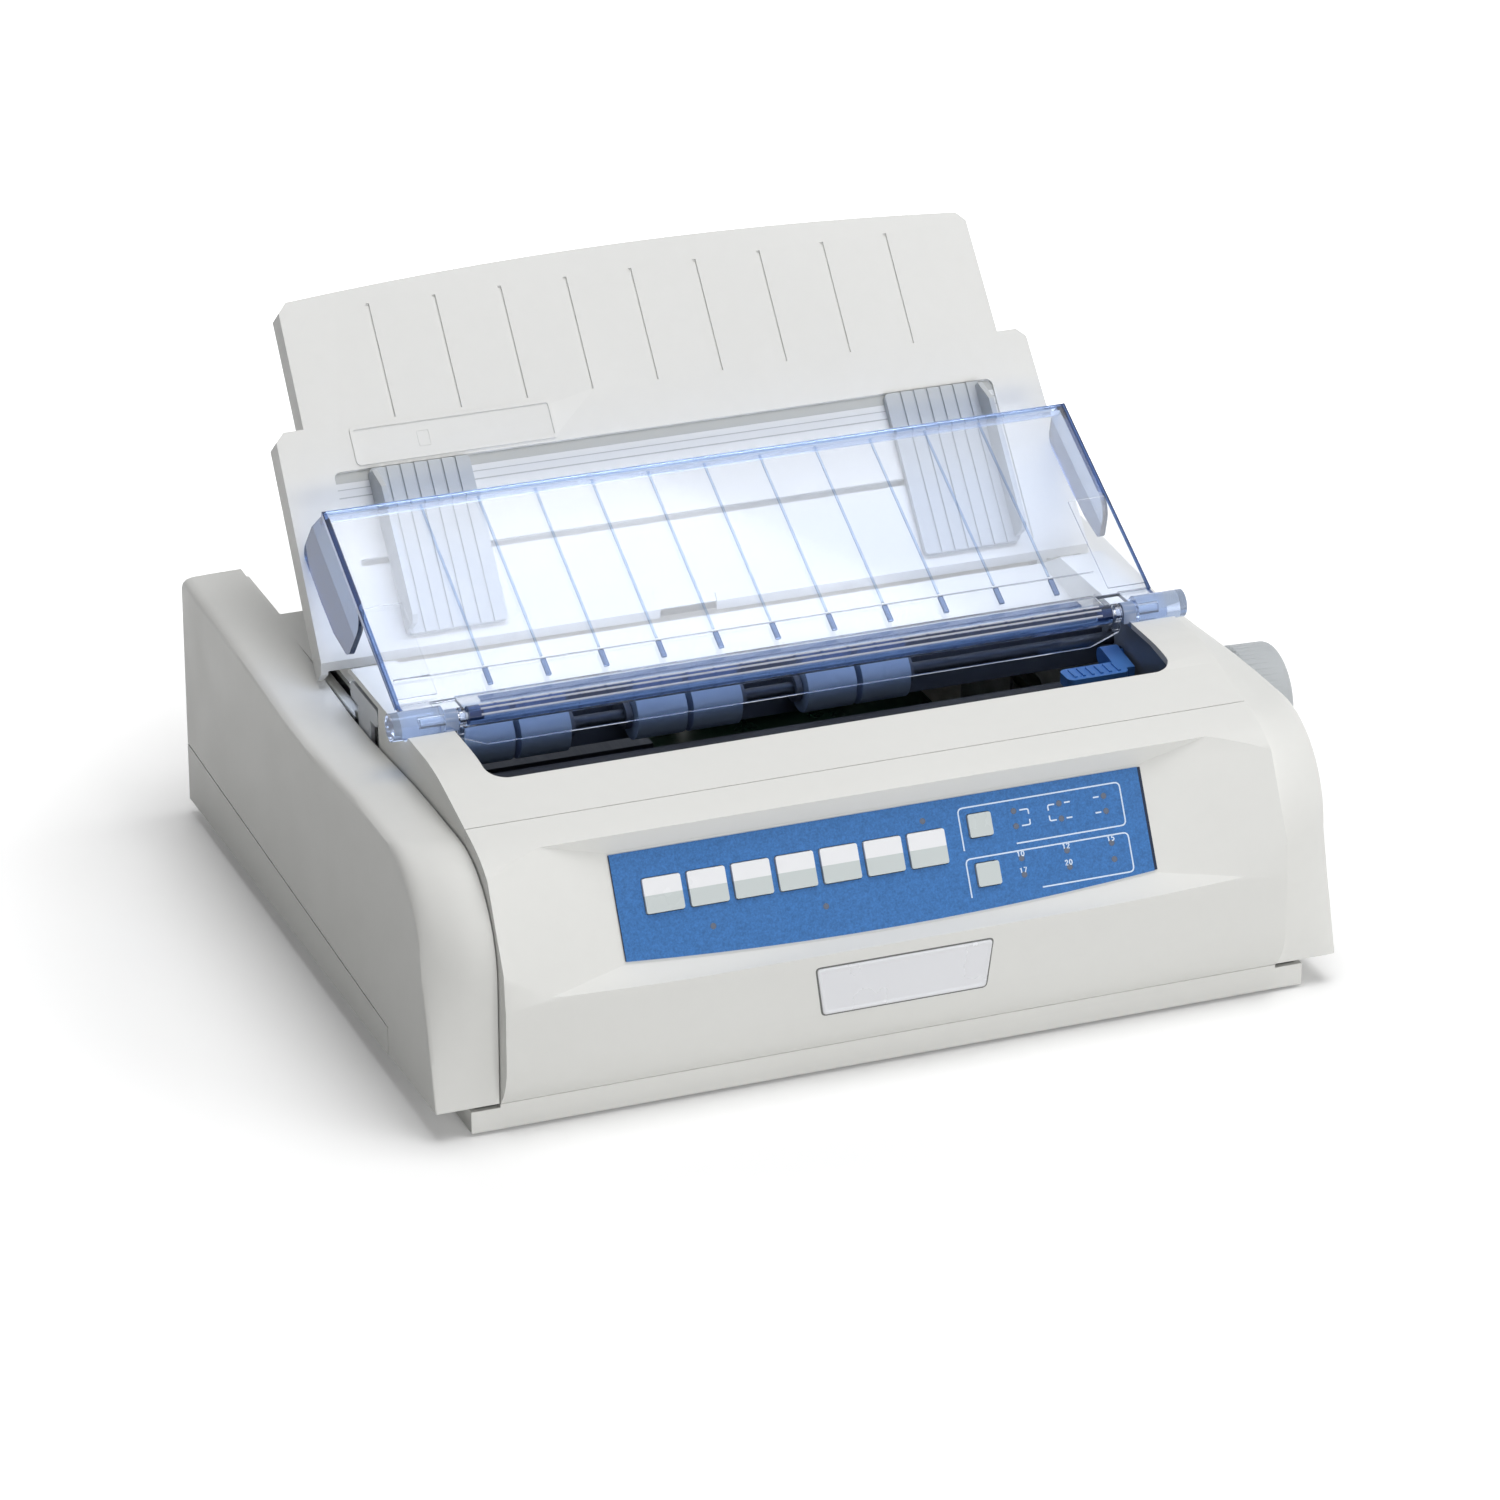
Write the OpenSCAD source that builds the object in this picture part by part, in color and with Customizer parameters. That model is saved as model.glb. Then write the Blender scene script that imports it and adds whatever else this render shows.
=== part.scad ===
// Desktop dot matrix printer: moulded case, hinged clear hood and sheet guide,
// platen with its gear train, pull-up rollers, tractors, carriage and print head.
// Millimetres. X runs to the right, Y to the back, Z up. The pieces are laid out from the
// middle of the case's front bottom edge, and place() moves that layout so that the origin
// lies under the middle of the whole printer.

/* [Case] */
// Width over the two end covers
body_w = 398; // [380:1:420]
// Depth from the nose of the front cover to the rear cover
body_d = 345; // [335:1:370]
// How far the nose of the front cover stands ahead of the base
nose = 8; // [5:0.5:10]
// Width of each end cover
wing_w = 27; // [22:1:32]
// Height of the end covers
wing_h = 111; // [108:0.5:114]
// Depth of the dip in the top line of the end covers
wing_dip = 4; // [0:0.5:6]
// Rise of their top line at the back
wing_rise = 2.5; // [0:0.5:4]
// Wall thickness of the moulded covers
wall = 2.5; // [2:0.25:3.5]
// Gap between neighbouring covers
seam = 0.4; // [0.3:0.05:0.8]
// Height of the flat deck beside the print opening
deck_z = 128; // [126:0.5:130]
// Where the flat deck ends and the rear deck begins
deck_back = 187; // [184:0.5:190]
// Height of the rear deck
rear_deck_z = 110; // [108:0.5:112]
// Slope of the deck in front of the opening
deck_slope = 15; // [12:0.5:18]
// Radius of the rounded front edge
front_r = 48; // [44:0.5:50]
// Height of the centre of the rounded front edge
front_cz = 69; // [67:0.5:71]
// Height of the seam between base and front cover
lip_z = 13; // [10:0.5:16]
// Inset of the base from the outside of the end covers
base_in = 15; // [12:0.5:18]
// Height of the side seam at the front and at the back
side_seam_front = 24; // [22:0.5:27]
// Height of the side seam at the rear corner
side_seam_back = 33.5; // [31:0.5:36]

/* [Feet] */
// Diameter of each rubber foot
foot_d = 18; // [12:1:22]
// Height of each rubber foot below the base
foot_h = 1.5; // [1:0.25:3]
// Distance from the feet to the sides of the base
foot_in = 26; // [18:1:32]

/* [Print opening] */
// Width of the deck beside the opening, up to the end cover
deck_side = 20.5; // [19.5:0.25:22]
// Front edge of the opening
open_front = 64; // [60:0.5:66]
// Corner radius of the opening
open_r = 9; // [6:0.5:12]
// Front edge of the paper ramp behind the rollers
ramp_front = 151; // [150:0.5:154]
// Height of the ramp at its front edge
ramp_z = 112; // [110:0.5:114]

/* [Control panel] */
// Tilt of the panel from the horizontal
panel_tilt = 62.2; // [60:0.1:64]
// Width of the blue overlay
panel_w = 232.4; // [228:0.2:236]
// Height of the blue overlay along its slope
panel_h = 43.3; // [42:0.1:44.5]
// How far the bottom edge of the overlay bows down in the middle
panel_bow = 4.5; // [3:0.25:6]
// Thickness of the overlay
panel_t = 0.6; // [0.4:0.1:1]
// Slope of the recess at its ends, sideways for each millimetre outward
recess_side = 4.2; // [3:0.1:4.5]
// Slope of the recess at its top and bottom
recess_draft = 0.95; // [0.6:0.05:1.1]
// Gap between two of the seven main keys
key_space = 2.8; // [2.4:0.1:5]
// Height of a main key along the panel
key_h = 14.4; // [13:0.1:15]
// From the left end of the overlay to the first key
key_in = 11.8; // [11:0.1:14]
// Bottom edge of the main keys above the bottom of the overlay
key_u0 = 17.3; // [16:0.1:19]
// Width of the two small keys
small_key_w = 10.3; // [9:0.1:11]
// Height of the two small keys
small_key_h = 9.7; // [9:0.1:10.5]
// From the right end of the overlay to the left edge of the small keys
small_key_in = 78; // [76:0.1:79]
// From the last main key to the small keys
key_end = 11; // [9:0.1:13]
// Bottom edges of the lower and the upper small key
small_key_u = [5.4, 25.7];
// How far the keys stand proud of the overlay
key_proud = 1.2; // [1:0.1:2]
// How far a key travels
key_travel = 0.8; // [0.4:0.1:0.9]
// Clearance round each key
key_gap = 0.3; // [0.2:0.05:0.4]
// Width of the nameplate at its top
plate_top_w = 77.2; // [70:0.2:84]
// Width of the nameplate at its bottom
plate_bottom_w = 71.6; // [66:0.2:76]
// Height of the nameplate
plate_h = 20.8; // [18:0.2:22]
// Height of the bottom of the nameplate
plate_z = 31.6; // [29:0.2:33]

/* [Hood] */
// Hinge axis of the hood and visor, depth
hinge_y = 114; // [113:0.5:115]
// Hinge axis of the hood and visor, height
hinge_z = 131; // [130.5:0.25:132]
// Slope of the clear panel
hood_tilt = 28.4; // [27:0.1:30]
// Length of the clear panel along its slope
hood_len = 106; // [102:0.5:107]
// Gap between the clear panel and the end cover on each side
hood_in = 2; // [1:0.25:3]
// Lower edge of the clear panel, depth
hood_y = 128.7; // [127:0.1:130]
// Lower edge of the clear panel, height
hood_z = 133.2; // [132.5:0.1:134]
// Thickness of the clear mouldings
clear_t = 2.4; // [1.8:0.1:3]
// Outward flare of the side walls
hood_flare = 7.3; // [5:0.1:7.6]
// Number of ribs down the clear panel
hood_ribs = 11; // [7:1:13]
// Pitch of the ribs
rib_pitch = 25.5; // [22:0.1:26]
// Radius of the hinge rail
rail_r = 4; // [3.5:0.1:4.2]
// Gap from the hinge rail to the side of the opening
rail_in = 7.5; // [7:0.25:8.5]
// Gap from the side of the opening to each hinge ear
ear_gap = 3.7; // [3.5:0.1:4.5]
// Length of each hinge ear
ear_len = 22.3; // [20:0.1:23.5]
// Radius of each hinge ear
ear_r = 6; // [5.5:0.1:6.2]
// Diameter of the hinge pins
hinge_pin_d = 3; // [2.5:0.1:3.5]
// Height of the visor below the hinge axis
visor_h = 14; // [11:0.5:14.5]
// Gap from the visor to the side of the opening
visor_in = 3.2; // [3:0.1:3.5]

/* [Sheet guide] */
// Slope of the sheet guide
guide_tilt = 50; // [48:0.5:52]
// Length of the guide up to its top corners
guide_len = 164; // [158:0.5:168]
// How far the foot of the guide reaches over each end cover
guide_over = 4.5; // [3:0.25:6]
// How much each side comes in from the foot to the shoulder
guide_taper = 3; // [2:0.25:5]
// Width of each shoulder
guide_step = 14; // [12:0.5:17]
// Height of the shoulders along the slope
guide_shoulder = 107; // [102:0.5:112]
// Rise of the curved top edge
guide_arch = 7; // [4:0.5:9]
// Depth of the guide's rim
guide_depth = 12; // [10:0.5:14]
// Thickness of the guide's skin
guide_skin = 3; // [2.6:0.1:3.4]
// Foot of the guide, depth and height
guide_y = 205.6; // [205:0.1:208]
// Foot of the guide, height
guide_z = 117.9; // [117:0.1:119]
// Number of grooves in the face
guide_grooves = 9; // [5:1:10]
// Pitch of the grooves
groove_pitch = 30; // [26:0.5:32]
// Width of each sliding paper guide
pguide_w = 45; // [38:0.5:48]
// Height of each sliding paper guide
pguide_h = 76; // [70:0.5:77]
// Height of the fin of each sliding paper guide
fin_h = 14; // [8:0.5:16]
// From the left end of the pocket to the left paper guide
pguide_left_in = 15; // [12:0.5:22]
// From the right end of the pocket to the right paper guide
pguide_right_in = 7; // [5:0.5:17]

/* [Platen] */
// Platen axis, depth
platen_y = 109; // [108:0.25:110]
// Platen axis, height
platen_z = 84.5; // [84:0.25:86]
// Radius of the rubber platen
platen_r = 19; // [18:0.1:19.4]
// Gap from the rubber to the side frames
platen_end = 5; // [4:0.5:10]
// Diameter of the platen shaft
shaft_d = 10; // [8:0.1:12]
// Radial clearance of the running shafts
run = 0.06; // [0.03:0.01:0.09]
// Length of the knob
knob_len = 20; // [16:0.5:24]
// Radius of the knob
knob_r = 23; // [20:0.5:24]
// Number of flutes round the knob
knob_flutes = 48; // [36:1:60]
// Gap between the knob and the end cover
knob_gap = 1; // [0.6:0.1:2]
// Module of the feed gears
gear_m = 1; // [1:0.01:1]
// Face width of the gears
gear_w = 6; // [4:0.5:6.5]
// Direction from the platen to the pull-up shaft
pullup_angle = 54; // [53:0.5:55]
// Direction from the platen to the idler gear
idler_angle = -47; // [-50:0.5:-44]
// Direction from the idler gear to the feed motor
motor_angle = -21; // [-24:0.5:-18]
// Radius of the pull-up rollers
roller_r = 11; // [10:0.1:11.4]
// Width of each pull-up roller
roller_w = 22; // [20:0.5:23]
// From the left side frame to the middle of the first roller
roller_in = 22.4; // [18:0.1:26]
// Pitch of the pairs of rollers
roller_pitch = 76; // [72:0.5:80]

/* [Carriage] */
// From the right side frame to the middle of the carriage at rest
carriage_in = 67; // [63:1:95]
// Depth of the carriage shaft
cshaft_y = 72; // [71:0.25:73]
// Height of the carriage shaft
cshaft_z = 58; // [57:0.25:59]
// Diameter of the carriage shaft
cshaft_d = 10; // [8:0.1:11]
// Depth of the front rail
rail_y = 44; // [42:0.25:46]
// Half width of the carriage
carriage_hw = 30; // [26:0.5:34]
// Half width of the ribbon cartridge
ribbon_hw = 50; // [44:0.5:51]
// Radius of the belt pulleys
pulley_r = 6; // [5:0.1:7]
// Height of the belt
belt_z = 72; // [71.5:0.25:73]
// Width of the carriage belt
belt_w = 5; // [4:0.25:6]

/* [Tractors] */
// From the rear of the case to the tractor shaft
tractor_back = 85; // [81:0.5:89]
// Height of the tractor shaft
tractor_z = 90; // [88:0.5:92]
// From each side frame to the middle of its tractor
tractor_in = 37; // [33:0.5:43]
// Diameter of the tractor shaft
tshaft_d = 8; // [6:0.1:9]

/* [Hidden] */
$fn = 48;

// ---- Derived sizes ----
half_w = body_w / 2;
wing_x = half_w - wing_w;                 // inner face of the end covers
centre_hw = wing_x - seam;                // half width of the middle covers
rear = body_d - nose;                     // rear face of the case
base_hw = half_w - base_in;
sill_y = 60;                              // where the side seam steps down
sill_z = 11.5;                            // underside of the end covers at the step
lip_y = 0.4;                              // front face of the base
floor_z = foot_h + wall;                  // top of the base's floor
plate_t = 1.4;                            // thickness of the nameplate
plate_sink = 0.6;                         // depth of its pocket
knob_x = half_w + knob_gap;
open_hw = wing_x - deck_side;             // half width of the print opening
frame_x = wing_x - 17;                    // inner face of the side frames
org_x = (knob_x + knob_len - half_w) / 2;
org_y = (rear - nose - (plate_t - plate_sink)) / 2;

// Front edge arc and deck line
front_cy = front_r - nose + 1.5;
arc_end = [front_cy - front_r * sin(deck_slope), front_cz + front_r * cos(deck_slope)];
function deck_line(y) = arc_end[1] + (y - arc_end[0]) * tan(deck_slope);
deck_rise = deck_z - deck_line(open_front);
deck_fillet = deck_rise / (1 - cos(deck_slope));
deck_flat = open_front + deck_fillet * sin(deck_slope);
seam_y = 38;                              // seam between front cover and top cover
chin_h = 20;                              // height of the front's curved lower part

// Control panel frame
panel_y = 4;
panel_z = 64.4;

// Gear train
platen_teeth = 48;
pullup_teeth = 22;
idler_teeth = 40;
pinion_teeth = 16;
function pitch_r(z) = gear_m * z / 2;
function spot(c, a, d) = c + d * [cos(a), sin(a)];
platen_c = [platen_y, platen_z];
pullup_c = spot(platen_c, pullup_angle, pitch_r(platen_teeth) + pitch_r(pullup_teeth));
idler_c = spot(platen_c, idler_angle, pitch_r(platen_teeth) + pitch_r(idler_teeth));
motor_c = spot(idler_c, motor_angle, pitch_r(idler_teeth) + pitch_r(pinion_teeth));
// Turn of a gear B so that it meshes with gear A in direction th
function mesh_turn(turn_a, za, th, zb) =
  th + 180 + ((th - turn_a) * za / 360 - 0.5) * 360 / zb;
platen_turn = pullup_angle;
pullup_turn = mesh_turn(platen_turn, platen_teeth, pullup_angle, pullup_teeth);
idler_turn = mesh_turn(platen_turn, platen_teeth, idler_angle, idler_teeth);
pinion_turn = mesh_turn(idler_turn, idler_teeth, motor_angle, pinion_teeth);

// Side frames and what they carry
frame_t = 1.5;
gear_x = frame_x + frame_t + 1.5;         // inner face of the gears, on the left
pulley_x = gear_x + gear_w + 1;           // inner face of the tractor belt pulleys
pulley_w = 4;
drive_r = 10;                             // radius of the tractor belt pulleys
belt_t = 1;
belt_gap = 0.25;
pull_d = 6;                               // pull-up shaft
rail_d = 6;
trod_d = 6;                               // tractor support rod
rail_z = cshaft_z - 6;
belt_y = 34;                              // middle of the carriage belt loop
belt_x = frame_x - 17;                    // pulley axes of the carriage belt
platen_hl = frame_x - platen_end;
carriage_x = frame_x - carriage_in;
tractor_x = frame_x - tractor_in;
tractor_y = rear - tractor_back;
trod = [tractor_y - 17, tractor_z - 5];

// Widths of hood, visor and guide
hood_hw = wing_x - hood_in;
rail_hw = open_hw - rail_in;
ear_in = open_hw + ear_gap;
ear_out = ear_in + ear_len;
visor_hw = open_hw - visor_in;
guide_foot_hw = wing_x + guide_over;
guide_shoulder_hw = guide_foot_hw - guide_taper;
guide_top_hw = guide_shoulder_hw - guide_step;
pocket_hw = guide_top_hw - 7.5;           // pocket that the paper guides slide in
pguide_left_x = -pocket_hw + pguide_left_in;
pguide_right_x = pocket_hw - pguide_right_in;

// Guide hinge, in the guide's own frame
guide_pin_v = 6;
guide_pin_n = -8;
guide_pin_d = 5;
guide_pin = [guide_y + guide_pin_v * cos(guide_tilt) - guide_pin_n * sin(guide_tilt),
             guide_z + guide_pin_v * sin(guide_tilt) + guide_pin_n * cos(guide_tilt)];
lug_in = open_hw + 2.1;
lug_out = lug_in + 4.6;

// Paper lever
lever_c = [166, 60];
lever_top = 123;
lever_y0 = 148;                           // front end of its pad

// Head gap lever
gap_c = [118, 110];
gap_pin_r = 2;

// Main board
board_z = 12;
board_x = [-18, frame_x - 13];
board_y = [motor_c[0] + 27, rear - 7];
unit_x = [-frame_x + 13, -28];            // power unit
unit_y = [motor_c[0] + 42, rear - 37];
board_posts = [for (x = [board_x[0] + 8, board_x[1] - 7], y = [board_y[0] + 8, board_y[1] - 8]) [x, y]];
unit_posts = [for (x = [unit_x[0] + 12, unit_x[1] - 12], y = [unit_y[0] + 8, unit_y[1] - 10]) [x, y]];

ivory = "#e8e6df";
clear_blue = "#9db4dc";
black = "#26282b";
steel = "#b9bcc0";

// ---- Helpers ----
module place() { translate([-org_x, -org_y, 0]) children(); }

// A profile drawn in Y and Z, extruded from x0 to x1
module side(x0, x1) {
  translate([x0, 0, 0]) rotate([90, 0, 90]) linear_extrude(x1 - x0) children();
}

module both() {
  children();
  mirror([1, 0, 0]) children();
}

// A round bar along X
module bar(x0, x1, c, r) {
  translate([x0, c[0], c[1]]) rotate([0, 90, 0]) cylinder(r = r, h = x1 - x0);
}

module box(lo, hi) { translate(lo) cube(hi - lo); }

function arc(c, r, a0, a1, n) =
  [for (i = [0:n]) let (a = a0 + (a1 - a0) * i / n) c + r * [cos(a), sin(a)]];

// Rounded rectangle from a corner
module rrect(w, h, r) {
  translate([r, 0]) square([w - 2 * r, h]);
  translate([0, r]) square([w, h - 2 * r]);
  for (x = [r, w - r], y = [r, h - r]) translate([x, y]) circle(r);
}

// Skin a closed solid over rings of the same number of points
module skin(rings) {
  n = len(rings[0]);
  m = len(rings);
  points = [for (r = rings) each r];
  walls = [for (j = [0:m - 2], i = [0:n - 1]) let (a = j * n + i, b = j * n + (i + 1) % n)
    each [[a, b, b + n], [a, b + n, a + n]]];
  first = [for (i = [n - 1:-1:0]) i];
  last = [for (i = [0:n - 1]) (m - 1) * n + i];
  polyhedron(points, concat([first], walls, [last]), convexity = 8);
}

// Involute gear outline
function flank(rb, r) = let (t = sqrt(max(0, pow(r / rb, 2) - 1))) t * 180 / PI - atan(t);
module gear2d(z, turn) {
  r = pitch_r(z);
  rb = r * cos(20);
  ra = r + 0.95 * gear_m;
  rf = r - 1.25 * gear_m;
  r0 = max(rb, rf + 0.05);
  half = 90 / z - 0.12 * 180 / PI / r;
  foot = half + flank(rb, r);
  steps = [r0, (r0 + r) / 2, r, ra];
  function tooth(a) = concat(
    [rf * [cos(a - foot), sin(a - foot)]],
    [for (q = steps) let (b = a - foot + flank(rb, q)) q * [cos(b), sin(b)]],
    [for (i = [3:-1:0]) let (q = steps[i], b = a + foot - flank(rb, q)) q * [cos(b), sin(b)]],
    [rf * [cos(a + foot), sin(a + foot)]]);
  polygon([for (k = [0:z - 1]) each tooth(turn + 360 * k / z)]);
}
module gear(x0, c, z, turn, bore, w = gear_w) {
  side(x0, x0 + w) translate(c) difference() {
    gear2d(z, turn);
    circle(bore);
  }
}

// ---- Case ----
chin_r = (pow(chin_h, 2) + pow(nose, 2)) / (2 * nose);
function front_pts(d) = concat(
  arc([chin_r - nose, lip_z + chin_h], chin_r - d, 180 + asin(chin_h / chin_r), 180, 8),
  [[d - nose, front_cz - 12]],
  arc([front_cy, front_cz], front_r - d, 180, 90 + deck_slope, 12));

module on_panel() { translate([0, panel_y, panel_z]) rotate([panel_tilt, 0, 0]) children(); }

// The scooped recess round the control panel; g grows it by a wall
module recess(g) {
  out = 20;
  sx = panel_w / 2 + 1 + g;
  lo = -panel_bow - 1 - g;
  hi = panel_h + 1 + g;
  on_panel() hull() {
    translate([0, 0, -g]) linear_extrude(0.1) polygon(concat([[sx, hi], [-sx, hi]],
      [for (i = [0:10]) let (x = -sx + 2 * sx * i / 10) [x, lo + panel_bow * pow(x / sx, 2)]]));
    translate([-sx - recess_side * out, lo + panel_bow - recess_draft * out, out])
      cube([2 * (sx + recess_side * out), hi - lo - panel_bow + 2 * recess_draft * out, 0.1]);
  }
}

// The seven main keys share the room between the ends of their row
key_x0 = -panel_w / 2 + key_in;
small_key_x = panel_w / 2 - small_key_in;
key_pitch = (small_key_x - key_end + key_space - key_x0) / 7;
key_w = key_pitch - key_space;

// Corners of key i: left edge, bottom edge, width, height
function key_rect(i) = i < 7
  ? [key_x0 + i * key_pitch, key_u0, key_w, key_h]
  : [small_key_x, small_key_u[i - 7], small_key_w, small_key_h];

module key_shape(i, g, r = 1) {
  k = key_rect(i);
  translate([k[0] - g, k[1] - g]) rrect(k[2] + 2 * g, k[3] + 2 * g, r + g);
}

// Indicator lamps beside the small keys, over the last key and under the first ones.
// The columns are given from the right end of the overlay or from the first key.
lamp_r = 1.3;
lamps = concat(
  [for (x = [57.2, 36.9, 16.8], u = [7.4, 14.2, 27.5, 33.8]) [panel_w / 2 - x, u]],
  [[key_x0 + 6 * key_pitch + key_w / 2, 35.9], [key_x0 + 27, 8.3], [key_x0 + 76, 8.4]]);

module plate_shape(g) {
  polygon([[-plate_bottom_w / 2 - g, -g], [plate_bottom_w / 2 + g, -g],
           [plate_top_w / 2 + g, plate_h + g], [-plate_top_w / 2 - g, plate_h + g]]);
}
module on_nose(t) { translate([0, t - nose, plate_z]) rotate([90, 0, 0]) children(); }

module front_cover() {
  x = centre_hw;
  y1 = seam_y - seam / 2;
  color(ivory) place() difference() {
    side(-x, x) polygon(concat(front_pts(0), [[y1, deck_line(y1)], [y1, lip_z]]));
    difference() {
      side(-x + wall, x - wall) polygon(concat(front_pts(wall),
        [[y1 + 1, deck_line(y1 + 1) - wall / cos(deck_slope)], [y1 + 1, lip_z - 1],
         [wall, lip_z - 1]]));
      recess(wall);
    }
    recess(0);
    for (i = [0:8]) on_panel() translate([0, 0, -8]) linear_extrude(12) key_shape(i, key_gap);
    for (p = lamps) on_panel() translate([p[0], p[1], -8]) cylinder(r = lamp_r, h = 12);
    on_nose(plate_sink) linear_extrude(5) plate_shape(seam / 2);
  }
}

// Top cover: deck, side strips, rear deck, paper ramp, hinge lugs
module top_outer() {
  y0 = seam_y + seam / 2;
  polygon(concat(
    [[y0, 100], [y0, deck_line(y0)]],
    arc([open_front + deck_fillet * sin(deck_slope), deck_z - deck_fillet], deck_fillet,
        90 + deck_slope, 90, 6),
    arc([deck_back - 5, deck_z - 5], 5, 90, 15, 5),
    [[deck_back + 3, rear_deck_z], [step_y, rear_deck_z], [step_y, step_z],
     [rear - wall - seam, step_z], [rear - wall - seam, step_z - wall], [step_y - wall, step_z - wall],
     [step_y - wall, 100]]));
}
module top_inner() {
  y0 = seam_y + seam / 2 - 1;
  t = wall / cos(deck_slope);
  polygon([[y0, 99], [y0, deck_line(y0) - t], [open_front, deck_line(open_front) - t],
    [deck_flat, deck_z - wall], [deck_back - wall, deck_z - wall],
    [deck_back, rear_deck_z - wall], [step_y - wall, rear_deck_z - wall], [step_y - wall, 99]]);
}
module opening_2d(y1) {
  translate([-open_hw, open_front]) rrect(2 * open_hw, y1 - open_front, open_r);
  translate([-open_hw, y1 - 2 * open_r]) square([2 * open_hw, 2 * open_r]);
}
well_hw = frame_x - 15;                   // opening over the tractors
step_y = rear - 48;                       // the deck drops here towards the back
step_z = 84;
well_y = [tractor_y - 27, step_y + 1];
ramp_back = guide_y - 2.4;
cheek_y = ramp_front - 4;
module top_cover() {
  x = centre_hw;
  color(ivory) place() difference() {
    union() {
      difference() {
        side(-x, x) top_outer();
        side(-x + wall, x - wall) top_inner();
        translate([0, 0, 90]) linear_extrude(60) opening_2d(ramp_back - 0.5);
        box([-well_hw, well_y[0], step_z + 4], [well_hw, well_y[1], 130]);
      }
      // paper ramp with its cheeks
      side(-open_hw - wall, open_hw + wall) polygon([[ramp_front, ramp_z],
        [ramp_front + 1, ramp_z + 0.6], [ramp_back, guide_z - 0.6], [ramp_back, rear_deck_z],
        [ramp_back + 6, rear_deck_z], [ramp_back + 6, rear_deck_z - wall],
        [ramp_back - wall, rear_deck_z - wall], [ramp_front + 1, ramp_z - wall],
        [ramp_front, ramp_z - wall]]);
      both() side(open_hw, open_hw + wall) polygon([[cheek_y, 107], [cheek_y, deck_z - 1],
        [deck_back - wall, deck_z - 1], [ramp_back, guide_z - 0.6], [ramp_back, rear_deck_z - 1],
        [ramp_front, ramp_z - wall]]);
      // side walls of the rear step
      both() box([x - wall, step_y - 1, step_z - wall], [x, rear - wall - seam, rear_deck_z]);
      // hinge lugs of the hood and visor
      both() side(visor_hw + 0.7, ear_in - 0.4) hinge_lug();
      // lugs of the sheet guide
      both() side(lug_in, lug_out) difference() {
        union() {
          translate(guide_pin) circle(4);
          translate([guide_pin[0] - 4, rear_deck_z - 1]) square([8, guide_pin[1] - rear_deck_z + 1]);
        }
        translate(guide_pin) circle(guide_pin_d / 2 + run);
      }
    }
    // slot of the paper lever
    box([-x - 1, lever_y0 - 1, 90], [-x + wall + 0.3, lever_y0 + 38, deck_z - wall - 0.3]);
    box([-x - 1, lever_y0 + 38, 90], [-x + 7.6, lever_c[0] + 66, 135]);
    // room for the hood's ears
    both() bar(ear_in - 0.4, ear_out + 4, [hinge_y, hinge_z], ear_r + 0.6);
  }
}
module hinge_lug() {
  difference() {
    union() {
      translate([hinge_y, hinge_z]) circle(rail_r);
      translate([hinge_y - rail_r, deck_z - 1]) square([2 * rail_r, hinge_z - deck_z + 1]);
    }
    translate([hinge_y, hinge_z]) circle(hinge_pin_d / 2 + 0.02);
  }
}

// Dark liner round the print opening
liner_t = 2;
liner_z = 97;
liner_lip = 113;                          // lower edge of its front wall
liner_back = 139;
module well_liner() {
  t = wall / cos(deck_slope) + 0.2;
  x0 = open_hw + 0.4;
  color(black) place() difference() {
    union() {
      both() side(x0, x0 + liner_t) polygon([[open_front - 3, liner_z], [liner_back, liner_z],
        [liner_back, deck_z - wall], [deck_flat, deck_z - wall],
        [open_front - 3, deck_line(open_front - 3) - t]]);
      side(-x0, x0) polygon([[open_front - 3, liner_lip], [open_front - 1, liner_lip],
        [open_front - 1, deck_line(open_front - 1) - t],
        [open_front - 3, deck_line(open_front - 3) - t]]);
    }
    bar(-frame_x - 5, frame_x + 5, pullup_c, pull_d / 2 + 1);
    bar(frame_x - 15, frame_x + 5, gap_c, gap_pin_r + 1);
  }
}

// End covers
wing_steps = [0, 0.3, 0.55, 0.75, 0.85, 0.93, 0.98, 1];
wing_front_r = 44;
wing_drop = 4;                            // fall of the top line at the outer edge
function edge_share(t) = min(1, max(0, (t - 0.84) / 0.16));
function drop(t) = 0.6 * t * t + (wing_drop - 0.6) * (1 - sqrt(1 - pow(edge_share(t), 2)));
wing_sweep = 13;                          // how far the outer side's front stands back
function side_seam(y) =
  side_seam_front + (side_seam_back - side_seam_front) * (y - sill_y) / (rear - sill_y);
function wing_top(y, t) = wing_h - drop(t)
  + wing_rise * max(0, y - 265) / (rear - 265)
  - (y > 80 && y < 265 ? wing_dip * pow(sin(180 * (y - 80) / 185), 2) : 0);
function wing_ring(t) = let (
    r = wing_front_r - 2 * t * t,
    c = [wing_front_r + wing_sweep * t * t, wing_h - drop(t) - r],
    x = wing_x + wing_w * t)
  [for (p = concat(
    [[sill_y, side_seam(sill_y)], [rear, side_seam_back], [rear, wing_top(rear, t) - 1.5],
     [rear - 1.5, wing_top(rear, t)]],
    [for (y = [300:-20:80]) [y, wing_top(y, t)]],
    arc(c, r, 90, 180, 14),
    [[(c[0] - r) * 0.75, c[1] - 15], [(c[0] - r) * 0.35, c[1] - 34], [0, lip_z],
     [sill_y, sill_z]])) [x, p[0], p[1]]];
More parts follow.
